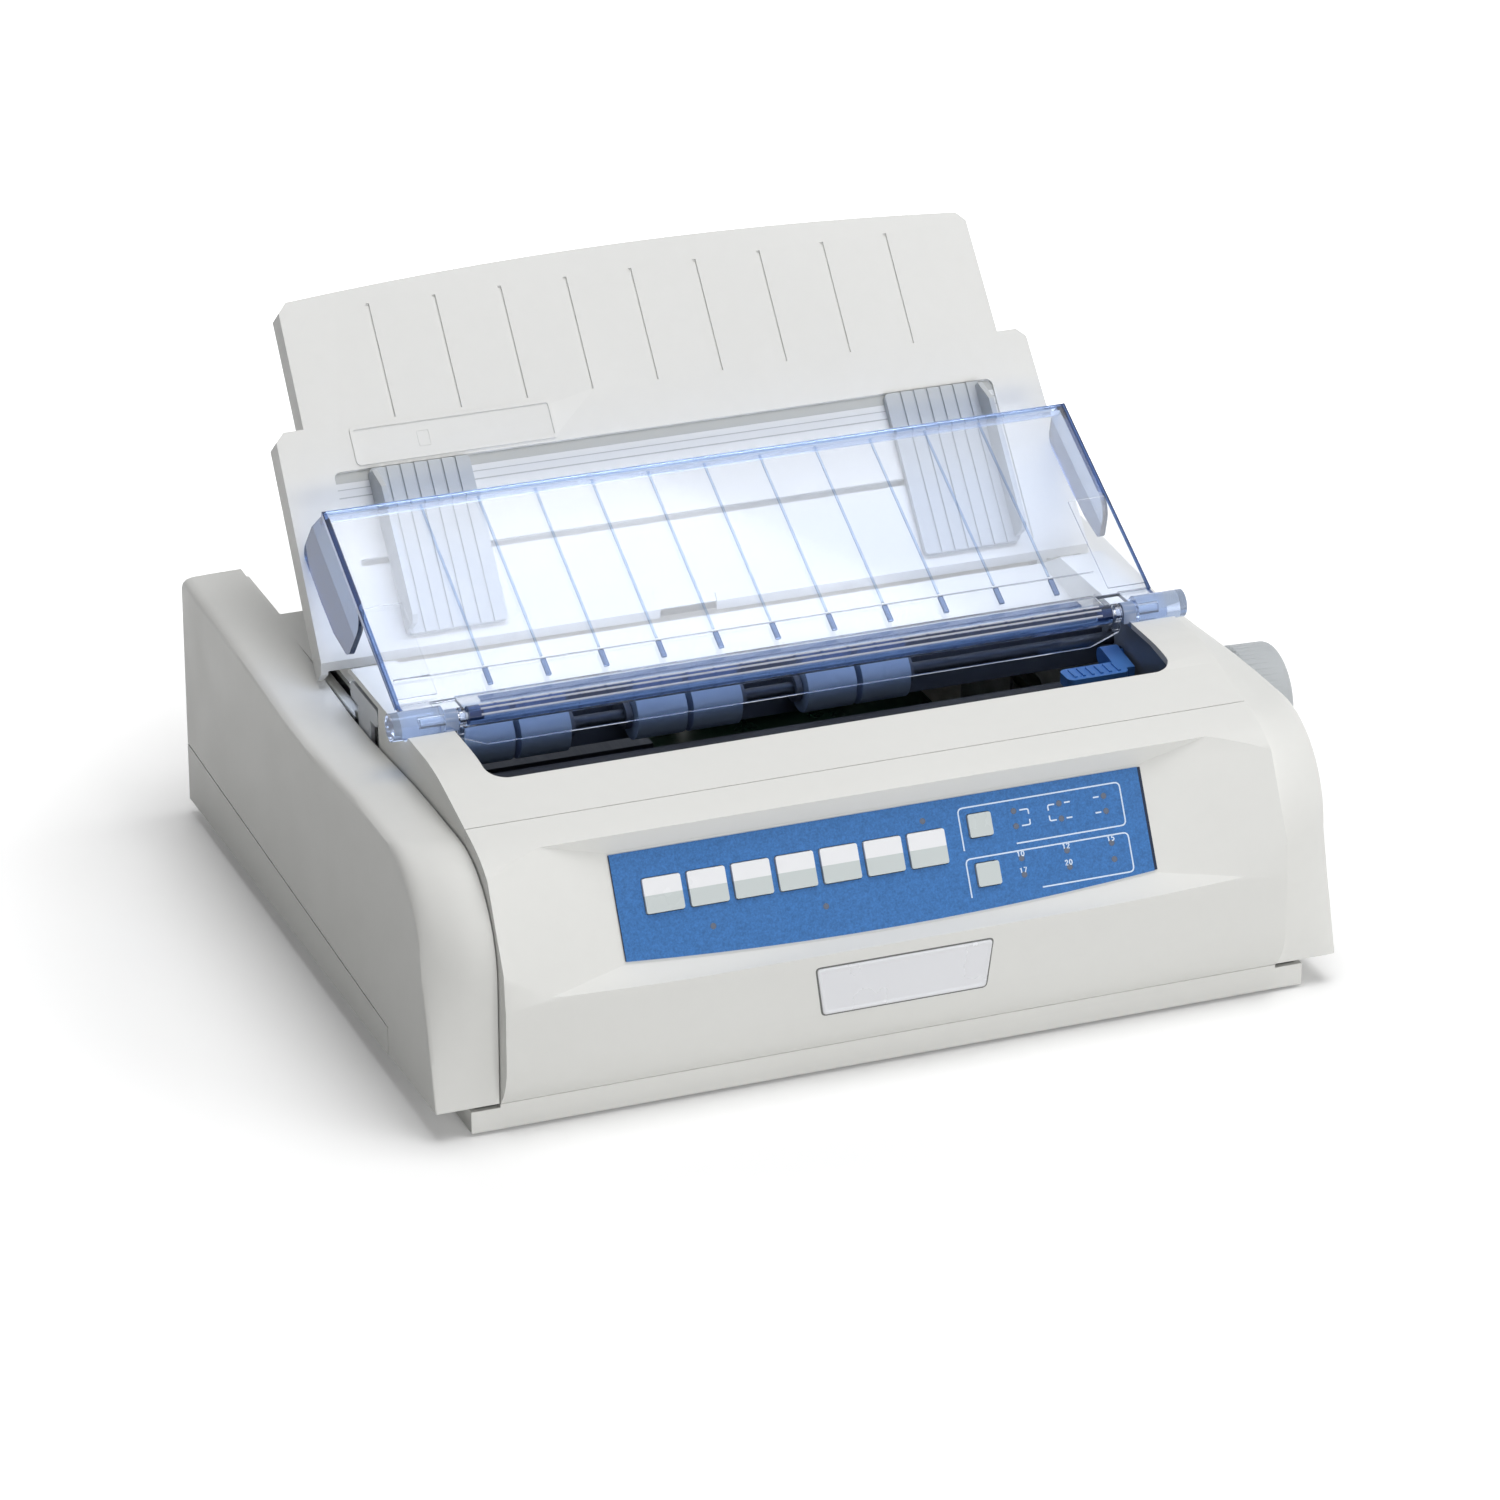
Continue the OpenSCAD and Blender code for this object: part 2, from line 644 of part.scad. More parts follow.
module wing_shell() {
  top = wing_h - wing_dip - wing_drop - wall;
  difference() {
    skin([for (t = wing_steps) wing_ring(t)]);
    side(wing_x - 1, half_w - wall - 1) polygon([[rear - wall, side_seam_back + wall],
      [rear - wall, top], [50, top], [36, top - 8], [27, top - 20], [23, top - 36],
      [18, side_seam_front + wall + 8], [18, side_seam_front + wall], [sill_y,
      side_seam_front + wall]]);
  }
}
module end_cover_right() {
  color(ivory) place() difference() {
    wing_shell();
    bar(wing_x - 5.3, half_w + 5.1, platen_c, shaft_d / 2 + 1.6);
  }
}
module end_cover_left() {
  color(ivory) place() mirror([1, 0, 0]) wing_shell();
}

// Rear cover with the vents and the openings of the mains parts
inlet_x = -120;
inlet_z = 54;
switch_x = -82;
module rear_cover() {
  color(ivory) place() difference() {
    union() {
      box([-centre_hw, rear - wall, side_seam_back], [centre_hw, rear, step_z - wall - seam]);
      // pocket of the power switch
      box([switch_x - 12.8, rear - wall - 11, inlet_z - 9.8],
          [switch_x + 12.8, rear - wall + 1, inlet_z + 9.8]);
    }
    translate([switch_x, rear - 7, inlet_z - 9.2]) cylinder(r = 1.26, h = 18.4);
    box([inlet_x - 14.3, rear - 5, inlet_z - 10.3], [inlet_x + 14.3, rear + 1, inlet_z + 10.3]);
    box([switch_x - 11.3, rear - wall - 9.5, inlet_z - 8.3], [switch_x + 11.3, rear + 1, inlet_z + 8.3]);
    for (i = [0:13])
      box([0 + i * 9, rear - 5, 48], [4 + i * 9, rear + 1, 78]);
  }
}

// Base
module side_wall_profile(y0, z1) {
  polygon([[y0, z1], [rear, z1], [rear, side_seam_back - seam],
    [sill_y + seam, side_seam(sill_y) - seam], [sill_y + seam, sill_z - seam], [y0, sill_z - seam]]);
}
port_x = 70;
port_w = 74;
module base_tray() {
  x = base_hw;
  color(ivory) place() difference() {
    union() {
      box([-x, lip_y, foot_h], [x, rear, floor_z]);
      box([-x, lip_y, foot_h], [x, lip_y + wall, sill_z - seam]);
      box([-centre_hw, lip_y, foot_h], [centre_hw, lip_y + wall, lip_z - seam]);
      both() side(x - wall, x) side_wall_profile(lip_y, foot_h);
      box([-x, rear - wall, foot_h], [x, rear, side_seam_back - seam]);
      // side sills
      both() side(x - 1, half_w) sill_profile(0);
      // posts of the main board and the power unit
      for (p = concat(board_posts, unit_posts)) translate([p[0], p[1], foot_h + 1])
        cylinder(r = 3, h = board_z - foot_h - 1);
      for (p = screws) translate([p[0], p[1], foot_h + 1]) cylinder(r = 5, h = 14);
      // ribs that stiffen the floor
      for (px = [-120:60:120]) box([px - 1, 20, floor_z - 1], [px + 1, 180, floor_z + 4]);
    }
    both() side(x - wall - 1, half_w - wall) sill_profile(wall);
    for (p = screws) translate([p[0], p[1], 0]) {
      cylinder(r = screw_r, h = 13);
      cylinder(r = screw_head_r, h = foot_h + 3);
    }
    box([port_x - port_w / 2, rear - 5, board_z + 2], [port_x + port_w / 2, rear + 1, board_z + 17]);
    // cooling slots in the floor
    for (i = [0:11]) box([-110 + i * 20, rear - 132, 0], [-106 + i * 20, rear - 92, floor_z + 1]);
    for (p = feet) translate([p[0], p[1], 0]) cylinder(r = foot_d / 2, h = foot_h + 0.8);
  }
}
module sill_profile(d) {
  polygon([[sill_y + seam + d, sill_z - seam + d], [rear - d, 6.5 + d],
    [rear - d, side_seam_back - seam + d * 4], [sill_y + seam + d, side_seam(sill_y) - seam + d * 4]]);
}

screw_r = 2;
screw_head_r = 3.6;
screws = [for (x = [-base_hw + 21.2, base_hw - 21.2], y = [foot_in + 18, rear - foot_in - 18]) [x, y]];
module case_screws() {
  color(steel) place() for (p = screws) translate([p[0], p[1], 0]) {
    translate([0, 0, foot_h + 0.6]) difference() {
      cylinder(r = screw_head_r - 0.1, h = 2.4);
      for (a = [0, 90]) rotate([0, 0, a]) translate([-2.2, -0.4, -1]) cube([4.4, 0.8, 2]);
    }
    translate([0, 0, foot_h + 2.9]) cylinder(r = screw_r - 0.03, h = 8);
  }
}

feet = [for (x = [-base_hw + foot_in, base_hw - foot_in], y = [foot_in, rear - foot_in]) [x, y]];
module rubber_feet() {
  color("#2b2b2b") place() for (p = feet) translate([p[0], p[1], 0]) difference() {
    union() {
      cylinder(r = foot_d / 2 - 1, h = 1);
      translate([0, 0, 0.6]) cylinder(r = foot_d / 2 - 0.05, h = foot_h + 0.2);
    }
    translate([0, 0, -1]) cylinder(r = foot_d / 4, h = 1.4);
  }
}

// ---- Control panel ----
module panel_2d() {
  h = panel_w / 2;
  n = 12;
  difference() {
    polygon(concat([[h, panel_h], [-h, panel_h]],
      [for (i = [0:n]) let (x = -h + panel_w * i / n) [x, -panel_bow * (1 - pow(x / h, 2))]]));
    for (i = [0:8]) key_shape(i, key_gap);
    for (p = lamps) translate(p) circle(lamp_r);
  }
}
module control_panel() {
  color("#4876b2") place() on_panel() linear_extrude(panel_t) panel_2d();
}
module panel_lenses() {
  color("#6d6256") place() on_panel() for (p = lamps)
    translate([p[0], p[1], board_n + 1.6]) cylinder(r = lamp_r - 0.05, h = panel_t - board_n - 1.6);
}
board_n = -9.6;                           // back face of the panel's board
flange_t = 1.2;
module key(i) {
  k = key_rect(i);
  stem_n = board_n + 1.6 + switch_h + key_travel + 0.1;
  color("#e6e8e8") place() on_panel() {
    translate([0, 0, -wall - key_gap - 0.1]) linear_extrude(wall + key_gap + 0.1 + panel_t + key_proud)
      key_shape(i, 0);
    translate([0, 0, -wall - key_gap - flange_t]) linear_extrude(flange_t) key_shape(i, 1);
    translate([k[0] + k[2] / 2, k[1] + k[3] / 2, stem_n])
      cylinder(r = 2, h = -wall - key_gap - flange_t - stem_n + 0.1);
  }
}
module key_1() { key(0); }
module key_2() { key(1); }
module key_3() { key(2); }
module key_4() { key(3); }
module key_5() { key(4); }
module key_6() { key(5); }
module key_7() { key(6); }
module key_8() { key(7); }
module key_9() { key(8); }

switch_h = 2;
module panel_board() {
  color("#2f6b45") place() on_panel() {
    difference() {
      translate([-panel_w / 2 + 4, 1, board_n]) cube([panel_w - 8, panel_h - 4, 1.6]);
      for (x = [-1, 1]) translate([x * (panel_w / 2 - 7), panel_h / 2, board_n - 1])
        cylinder(r = 1.6, h = 4);
    }
    for (i = [0:8]) let (k = key_rect(i))
      translate([k[0] + k[2] / 2 - 3, k[1] + k[3] / 2 - 3, board_n + 1.6]) cube([6, 6, switch_h]);
    // spacers up to the cover
    for (x = [-1, 1]) translate([x * (panel_w / 2 - 7), panel_h / 2, board_n + 1.6])
      cylinder(r = 2.5, h = -wall - board_n - 1.6);
  }
}
module nameplate() {
  color("#d5d7d8") place() on_nose(plate_sink) difference() {
    linear_extrude(plate_t) plate_shape(0);
    translate([0, 0, plate_t - 0.5]) linear_extrude(1) plate_shape(-1.6);
  }
}

// ---- Hood, visor and sheet guide ----
hinge_c = [hinge_y, hinge_z];
pin_in = rail_hw - 6;                     // inner end of the hinge pins
pin_out = ear_in + 9.8;
module tube(x0, x1, c, r, bore) {
  difference() {
    bar(x0, x1, c, r);
    bar(x0 - 1, x1 + 1, c, bore);
  }
}
module on_hood() { translate([0, hood_y, hood_z]) rotate([hood_tilt, 0, 0]) children(); }

module hood_wall_2d() {
  e = hood_len;
  polygon(concat([[e - 0.6, -0.7], [e + 4.6, -15]], arc([e - 0.4, -26], 5, 0, -80, 5),
    [[e - 24, -31.2], [e - 41, -30.5]],
    arc([e - 53.5, -22.5], 4.5, 255, 180, 5), arc([e - 48.5, -11.5], 9.5, 180, 90, 6)));
}
module access_hood() {
  e = hood_len;
  color(clear_blue) place() difference() {
    union() {
      on_hood() {
        box([-hood_hw, 0, -clear_t], [hood_hw, e, 0]);
        side(-hood_hw + 1, hood_hw - 1) polygon([[e - 0.4 - clear_t, -1], [e - 0.4, -1],
          [e + 1.4, -8], [e + 1.4 - clear_t, -8]]);
        both() translate([hood_hw - 0.8, 0, 0]) rotate([0, -hood_flare, 0])
          side(-clear_t, 0) hood_wall_2d();
        // ribs, with stronger ends over the lower band
        for (i = [0:hood_ribs - 1]) let (x = (i - (hood_ribs - 1) / 2) * rib_pitch) {
          box([x - 0.5, 14, -0.2], [x + 0.5, e - 4, 0.5]);
          box([x - 1.1, 3.5, -0.2], [x + 1.1, 12, 1.1]);
        }
        // raised fields beside the notched side walls
        both() box([hood_hw - 19, 3, -0.2], [hood_hw - 1.5, e - 54, 0.6]);
      }
      box([-rail_hw, hinge_y, hinge_z + 0.1], [rail_hw, hood_y + 2.6, hood_z - 0.4]);
      bar(-rail_hw, rail_hw, hinge_c, rail_r);
      for (x = [-rail_hw + 12:12:rail_hw - 12]) bar(x - 0.6, x + 0.6, hinge_c, rail_r + 0.25);
      both() {
        bar(ear_in, ear_out, hinge_c, ear_r);
        box([ear_in, hinge_y, hinge_z + 0.1], [hood_hw - 0.6, hood_y + 2.6, hood_z - 0.4]);
      }
    }
    both() bar(pin_in - 0.6, pin_out + 0.6, hinge_c, hinge_pin_d / 2 + run);
    on_hood() box([-hood_hw + 3, 12.7, -0.5], [hood_hw - 22, 13.3, 1]);
  }
}
module hinge_pins() {
  color(steel) place() both() bar(pin_in, pin_out, hinge_c, hinge_pin_d / 2);
}

arm_t = 2.8;
module front_visor() {
  z0 = hinge_z - visor_h;
  z1 = hinge_z - rail_r - 0.8;
  w = visor_hw;
  color(clear_blue) place() difference() {
    union() {
      translate([0, hinge_y + 1, 0]) rotate([90, 0, 0]) linear_extrude(2)
        polygon([[-w + 13, z0], [w - 13, z0], [w, z1 - 4], [w, z1], [-w, z1], [-w, z1 - 4]]);
      both() side(w - arm_t, w) {
        translate(hinge_c) circle(rail_r);
        translate([hinge_y - 2, z1 - 3]) square([4, hinge_z - z1 + 3]);
      }
    }
    both() bar(w - arm_t - 1, w + 1, hinge_c, hinge_pin_d / 2 + run);
  }
}

module on_guide() { translate([0, guide_y, guide_z]) rotate([guide_tilt, 0, 0]) children(); }
rim = 3;
function guide_pts(d) = let (
    s = guide_shoulder_hw - d, t = guide_top_hw - d, v0 = d > 0 ? -10 : 0, n = 14,
    v1 = guide_shoulder - d, v2 = guide_len - d)
  concat([[-guide_foot_hw + d, v0], [guide_foot_hw - d, v0], [s, v1 - 4], [s - 4, v1],
    [t + 1, v1], [t, v2 - 4]],
    [for (i = [0:n]) let (x = (t - 4) * (1 - 2 * i / n)) [x, v2 + guide_arch * (1 - pow(x / t, 2))]],
    [[-t, v2 - 4], [-t - 1, v1], [-s + 4, v1], [-s, v1 - 4]]);

pocket = [8, 86, 1.2];                    // from, to, depth
slot_v = [43, 46];
module sheet_guide() {
  color("#dcdcdb") place() on_guide() {
    difference() {
      union() {
        difference() {
          translate([0, 0, -guide_depth]) linear_extrude(guide_depth) polygon(guide_pts(0));
          translate([0, 0, -guide_depth - 1]) linear_extrude(guide_depth + 1 - guide_skin)
            polygon(guide_pts(rim));
        }
        // raised frame of the label field
        difference() {
          translate([-pocket_hw + 11, pocket[1] + 1.5, -0.5]) linear_extrude(1.1) rrect(91, 17.5, 2);
          translate([-pocket_hw + 12.4, pocket[1] + 2.9, -0.1]) linear_extrude(3) rrect(88.2, 14.7, 1.2);
        }
        both() side(lug_out + 0.4, lug_out + 3) {
          translate([guide_pin_v, guide_pin_n]) circle(4.5);
          translate([guide_pin_v - 4.5, guide_pin_n])
            square([9, -guide_pin_n - guide_skin + 0.5]);
        }
      }
      translate([-pocket_hw, pocket[0], -pocket[2]]) linear_extrude(9)
        rrect(2 * pocket_hw, pocket[1] - pocket[0], 3);
      translate([-pocket_hw + 3, slot_v[0], -9]) linear_extrude(18)
        rrect(2 * pocket_hw - 6, slot_v[1] - slot_v[0], 1);
      for (i = [0:guide_grooves - 1]) let (x = (i - (guide_grooves - 1) / 2) * groove_pitch)
        box([x - 0.8, guide_shoulder, -1], [x + 0.8, guide_len - 5, 5]);
      // sloped lower edge
      side(-guide_foot_hw - 1, guide_foot_hw + 1) polygon([[-2, -6], [-2, 2], [6, 2]]);
      // finger recess at the foot
      translate([-24, -5, -9]) linear_extrude(18) rrect(26, 18, 3);
    }
    both() bar(lug_in + 0.3, lug_out + 2, [guide_pin_v, guide_pin_n], guide_pin_d / 2);
  }
}
module paper_guide(x0, outer_left) {
  w = pguide_w;
  v0 = pocket[0] + 1.5;
  h = min(pguide_h, pocket[1] - v0 - 1);
  n0 = -pocket[2] + 0.15;
  fin_x = outer_left ? 0 : w - 2.4;
  color("#b2b8be") place() on_guide() translate([x0, 0, 0]) difference() {
    union() {
      translate([0, v0, n0]) linear_extrude(2.6 - n0) rrect(w, h, 2);
      translate([fin_x, 0, 0]) side(0, 2.4) polygon([[v0 + 2, 2], [v0 + 2, fin_h - 3],
        [v0 + 5, fin_h], [v0 + h - 12, fin_h], [v0 + h - 2, fin_h - 8], [v0 + h - 2, 2]]);
      box([12, slot_v[0] + 0.3, -guide_skin - 0.5], [w - 12, slot_v[1] - 0.3, n0 + 0.5]);
      box([10, slot_v[0] - 3, -guide_skin - 1.7], [w - 10, slot_v[1] + 3, -guide_skin - 0.15]);
    }
    for (i = [0:5]) let (x = w / 2 + (i - 2.5) * 6.2) box([x - 0.7, v0 - 1, 1.6], [x + 0.7, v0 + h + 1, 9]);
  }
}
module paper_guide_left() { paper_guide(pguide_left_x, true); }
module paper_guide_right() { paper_guide(pguide_right_x - pguide_w, false); }

// ---- Platen and paper feed ----
module platen_roller() {
  color("#303236") place() tube(-platen_hl, platen_hl, platen_c, platen_r, shaft_d / 2 + 0.02);
}
module platen_shaft() {
  color(steel) place() bar(-pulley_x - pulley_w - 1, knob_x + knob_len - 5, platen_c, shaft_d / 2);
}
module platen_knob() {
  color("#e0e0de") place() translate([knob_x, platen_c[0], platen_c[1]]) rotate([0, 90, 0])
    difference() {
      rotate_extrude() polygon(concat([[0, 0], [knob_r - 1, 0], [knob_r, 1]],
        arc([knob_r - 3.5, knob_len - 3], 3, 0, 90, 6),
        [[knob_r - 6, knob_len], [knob_r - 7, knob_len - 1], [0, knob_len - 1]]));
      translate([0, 0, -1]) cylinder(r = shaft_d / 2 + 0.02, h = knob_len - 4);
      for (i = [0:knob_flutes - 1]) rotate([0, 0, i * 360 / knob_flutes])
        translate([knob_r + 0.4, 0, -1]) cylinder(r = 0.9, h = knob_len - 2);
    }
}
module platen_gear() {
  color("#d9d9d4") place() {
    gear(-gear_x - gear_w, platen_c, platen_teeth, platen_turn, shaft_d / 2 + 0.02);
    tube(-pulley_x - pulley_w, -gear_x - gear_w, platen_c, drive_r, shaft_d / 2 + 0.02);
  }
}
module pull_up_shaft() {
  color("#d9d9d4") place() {
    gear(-gear_x - gear_w, pullup_c, pullup_teeth, pullup_turn, pull_d / 2 - 0.5);
    bar(-gear_x - gear_w - 0.6, frame_x + frame_t + 1.5, pullup_c, pull_d / 2);
  }
}
roller_step = roller_w + 2.6;             // pitch within a pair
pairs = [for (p = [0:2]) for (k = [0:1]) -frame_x + roller_in + p * roller_pitch + k * roller_step];
module pull_up_rollers() {
  color("#7f95b5") place() for (x = pairs)
    tube(x - roller_w / 2, x + roller_w / 2, pullup_c, roller_r, pull_d / 2 + 0.02);
}
module pull_up_frame() {
  color(black) place() {
    difference() {
      union() {
        box([-frame_x + 0.05, pullup_c[0] + roller_r + 1, 96],
            [frame_x - 0.05, pullup_c[0] + roller_r + 4, 118]);
        box([-frame_x + 15, pullup_c[0] + roller_r + 1, 96], [frame_x - 15, ramp_front - 2, 98]);
        for (p = [0:2]) for (x = [pairs[2 * p] - roller_w / 2 - 3.4, pairs[2 * p + 1] + roller_w / 2 + 0.6])
          side(x, x + 2.8) {
            translate(pullup_c) circle(6);
            translate([pullup_c[0], pullup_c[1] - 6]) square([roller_r + 2, 12]);
          }
      }
      bar(-frame_x - 5, frame_x + 5, pullup_c, pull_d / 2 + run);
    }
  }
}
module idler_gear() {
  color("#d9d9d4") place()
    gear(-gear_x - gear_w, idler_c, idler_teeth, idler_turn, stud_r + run);
}
stud_r = 2.5;
motor_r = 20;
module feed_motor() {
  x = frame_x;
  color("#4a4d52") place() difference() {
    union() {
      bar(-x + 1.5, -x + 32, motor_c, motor_r);
      side(-x, -x + 1.5) translate(motor_c) difference() {
        square([2 * motor_r + 14, 22], center = true);
        for (s = [-1, 1]) translate([s * (motor_r + 3.5), 0]) circle(1.7);
      }
    }
    bar(-x - 1, -x + 22, motor_c, stud_r + run);
  }
}
module feed_pinion() {
  color("#d9d9d4") place() {
    gear(-gear_x - gear_w, motor_c, pinion_teeth, pinion_turn, 1.5);
    bar(-gear_x - gear_w, -frame_x + 20, motor_c, stud_r);
  }
}

// Side frames that carry the mechanism
module frame_2d() {
  polygon([[34, floor_z], [step_y + 7, floor_z], [step_y + 7, step_z - 8], [step_y - 5, step_z - 8],
    [step_y - 5, 101], [deck_back + 5, 101], [deck_back - 9, 120],
    [78, 120], [64, 114], [40, 104], [34, 96]]);
}
module frame_holes() {
  translate(platen_c) circle(shaft_d / 2 + run);
  translate(pullup_c) circle(pull_d / 2 + run);
  translate([cshaft_y, cshaft_z]) circle(cshaft_d / 2 + 0.02);
  translate([rail_y, rail_z]) circle(rail_d / 2 + 0.02);
  translate([tractor_y, tractor_z]) circle(tshaft_d / 2 + run);
  translate(trod) circle(trod_d / 2 + 0.02);
  // lightening holes
  translate([205, 30]) rrect(36, 30, 6);
  translate([92, 14]) rrect(34, 22, 5);
}
module side_frame(x0) {
  side(x0, x0 + frame_t) difference() {
    frame_2d();
    frame_holes();
    children();
  }
}
stud_x = pulley_x - 0.4;
module side_frame_left() {
  color(steel) place() {
    side_frame(-frame_x - frame_t) {
      translate(motor_c) circle(6);
      translate(lever_c) circle(2.9);
    }
    box([-frame_x - 0.5, 60, floor_z], [-frame_x + 12, step_y + 1, floor_z + frame_t]);
    bar(-stud_x, -frame_x - 0.5, idler_c, stud_r);
    bar(-centre_hw - 0.1, -frame_x, lever_c, 3);
    // bracket and stud of the idle pulley
    box([-frame_x - 0.5, belt_y - 7, belt_z - 8], [-belt_x + 8, belt_y + 7, belt_z - 6.5]);
    translate([-belt_x, belt_y, belt_z - 7]) cylinder(r = 2, h = 12);
  }
}
module side_frame_right() {
  color(steel) place() {
    side_frame(frame_x) translate(gap_c) circle(gap_pin_r + run);
    box([frame_x - 12, 60, floor_z], [frame_x + 0.5, step_y + 1, floor_z + frame_t]);
  }
}

// ---- Tractor feed ----
module tractor_shaft() {
  color(steel) place() {
    bar(-pulley_x - pulley_w - 0.6, frame_x + frame_t + 1.5, [tractor_y, tractor_z], tshaft_d / 2);
    bar(-pulley_x - pulley_w, -pulley_x, [tractor_y, tractor_z], drive_r);
  }
}
module loop_2d(r, w, ang) {
  circle(r);
  rotate(ang) translate([0, -r]) square([w, 2 * r]);
  rotate(ang) translate([w, 0]) circle(r);
}
module tractor_belt() {
  d = [tractor_y, tractor_z] - platen_c;
  w = norm(d);
  ang = atan2(d[1], d[0]);
  r = drive_r + belt_gap;
  color(black) place() side(-pulley_x - pulley_w + 0.2, -pulley_x - 0.2) translate(platen_c)
    difference() {
      loop_2d(r + belt_t, w, ang);
      loop_2d(r, w, ang);
    }
}
tractor_hw = 9;
tractor_top = 103;
knuckle_r = 2.4;
pin_pitch = 12.7;
module tractor(s) {
  kx = s * (tractor_hw + 2);
  y0 = tractor_y - 20;
  y1 = tractor_y + 34;
  translate([s * tractor_x, 0, 0]) {
    difference() {
      union() {
        side(-tractor_hw, tractor_hw) {
          translate([y0, tractor_z - 9]) rrect(y1 - y0, tractor_top - tractor_z + 9, 6);
          translate([y0 + 4, tractor_top - 6]) square([y1 - y0 - 8, 6]);
        }
        for (y = [y0 + 4, y1 - 8]) {
          translate([kx, y, tractor_top]) rotate([-90, 0, 0]) cylinder(r = knuckle_r, h = 4);
          translate([s > 0 ? tractor_hw - 1 : kx, y, tractor_top - 2.4]) cube([3, 4, 2.4]);
        }
      }
      bar(-20, 20, [tractor_y, tractor_z], tshaft_d / 2 + run);
      bar(-20, 20, trod, trod_d / 2 + run);
      // room for the door's knuckle
      translate([kx, y0 + 8, tractor_top]) rotate([-90, 0, 0])
        cylinder(r = knuckle_r + 0.4, h = y1 - y0 - 16);
    }
    translate([kx, y0 + 4, tractor_top]) rotate([-90, 0, 0]) cylinder(r = 1, h = y1 - y0 - 8);
    for (i = [0:3]) translate([0, tractor_y + 7 + (i - 1.5) * pin_pitch, tractor_top - 0.5])
      cylinder(r = 1.2, h = 2);
  }
}
module tractor_door(s) {
  kx = s * (tractor_hw + 2);
  y0 = tractor_y - 20;
  y1 = tractor_y + 34;
  translate([s * tractor_x, 0, 0]) difference() {
    union() {
      box([s > 0 ? -8 : -7.6, y0 + 2, tractor_top + 0.4], [s > 0 ? 7.6 : 8, y1 - 2, tractor_top + 2.8]);
      box([s > 0 ? 7 : kx, y0 + 8.4, tractor_top + 0.4],
          [s > 0 ? kx : -7, y1 - 8.4, tractor_top + knuckle_r]);
      translate([kx, y0 + 8.4, tractor_top]) rotate([-90, 0, 0])
        cylinder(r = knuckle_r, h = y1 - y0 - 16.8);
    }
    translate([kx, y0, tractor_top]) rotate([-90, 0, 0]) cylinder(r = 1 + run, h = y1 - y0);
    box([-2.2, y0 + 5, tractor_top - 1], [2.2, y1 - 5, tractor_top + 2]);
  }
}
module tractor_left() { color("#3b4148") place() tractor(-1); }
module tractor_right() { color("#3b4148") place() tractor(1); }
module tractor_door_left() { color("#4d545c") place() tractor_door(-1); }
module tractor_door_right() { color("#4d545c") place() tractor_door(1); }

// ---- Carriage and print head ----
module guide_rods() {
  x = frame_x + frame_t;
  color(steel) place() {
    bar(-x, x, [cshaft_y, cshaft_z], cshaft_d / 2);
    bar(-x, x, [rail_y, rail_z], rail_d / 2);
    bar(-x, x, trod, trod_d / 2);
  }
}
car_top = 68;
ribbon_z = 99;
clamp_y = belt_y + pulley_r + belt_gap;   // inner face of the clamped belt run
module carriage() {
  h = carriage_hw;
  color("#3a3f45") place() translate([carriage_x, 0, 0]) difference() {
    union() {
      side(-h, h) polygon([[rail_y - 6, rail_z - 5], [cshaft_y + 8, rail_z - 5],
        [cshaft_y + 11, cshaft_z], [cshaft_y + 11, car_top], [rail_y + 4, car_top],
        [rail_y - 6, rail_z + 8]]);
      // cheeks that carry the ribbon cartridge
      both() side(19, 22) polygon([[rail_y + 4, car_top - 1], [cshaft_y + 8, car_top - 1],
        [cshaft_y + 8, car_top + 10], [cshaft_y + 4, ribbon_z], [rail_y + 10, ribbon_z],
        [rail_y + 4, car_top + 8]]);
      box([-8, clamp_y - 2, rail_z + 6], [8, clamp_y + belt_t + 2, belt_z + 5]);
    }
    bar(-h - 1, h + 1, [cshaft_y, cshaft_z], cshaft_d / 2 + run);
    bar(-h - 1, h + 1, [rail_y, rail_z], rail_d / 2 + run);
    box([-9, clamp_y - 0.35, belt_z - belt_w / 2 - 0.35],
        [9, clamp_y + belt_t + 0.35, belt_z + belt_w / 2 + 0.35]);
  }
}
head_front = platen_y - platen_r - 1.2;
module print_head() {
  color("#8d9298") place() translate([carriage_x, 0, 0]) {
    difference() {
      union() {
        box([-18, 52, car_top], [18, 80, 96]);
        side(-9, 9) polygon([[79, 76], [head_front, 80.5], [head_front, 88.5], [79, 93]]);
      }
      // cooling fins
      for (i = [0:5]) box([-20, 54 + i * 4, 74], [20, 56 + i * 4, 98]);
    }
    box([-12, 53, 73], [12, 78, 94]);
  }
}
module ribbon_cartridge() {
  w = ribbon_hw;
  color("#2c2f33") place() translate([carriage_x, 0, 0]) {
    difference() {
      union() {
        translate([-w, 44, ribbon_z]) linear_extrude(12) rrect(2 * w, 36, 5);
        both() side(30, 34) polygon([[76, ribbon_z + 10], [76, ribbon_z], [84, 80],
          [head_front + 0.7, 80], [head_front + 0.7, 94], [82, ribbon_z + 10]]);
      }
      translate([-w + 9, 62, ribbon_z + 11.2]) cylinder(r = 5, h = 2);
      translate([-18, 74, ribbon_z - 1]) cube([36, 8, 14]);
    }
    translate([-w + 9, 62, ribbon_z + 11]) cylinder(r = 3.6, h = 2);
    box([-32, head_front + 0.2, 81.5], [32, head_front + 0.5, 93]);
  }
}
module pulley(s) {
  translate([s * belt_x, belt_y, 0]) {
    translate([0, 0, belt_z - belt_w / 2 - 0.4]) cylinder(r = pulley_r, h = belt_w + 0.8);
    for (z = [belt_z - belt_w / 2 - 1.2, belt_z + belt_w / 2 + 0.4])
      translate([0, 0, z]) cylinder(r = pulley_r + 1.6, h = 0.8);
  }
}
cmotor_r = 15.5;
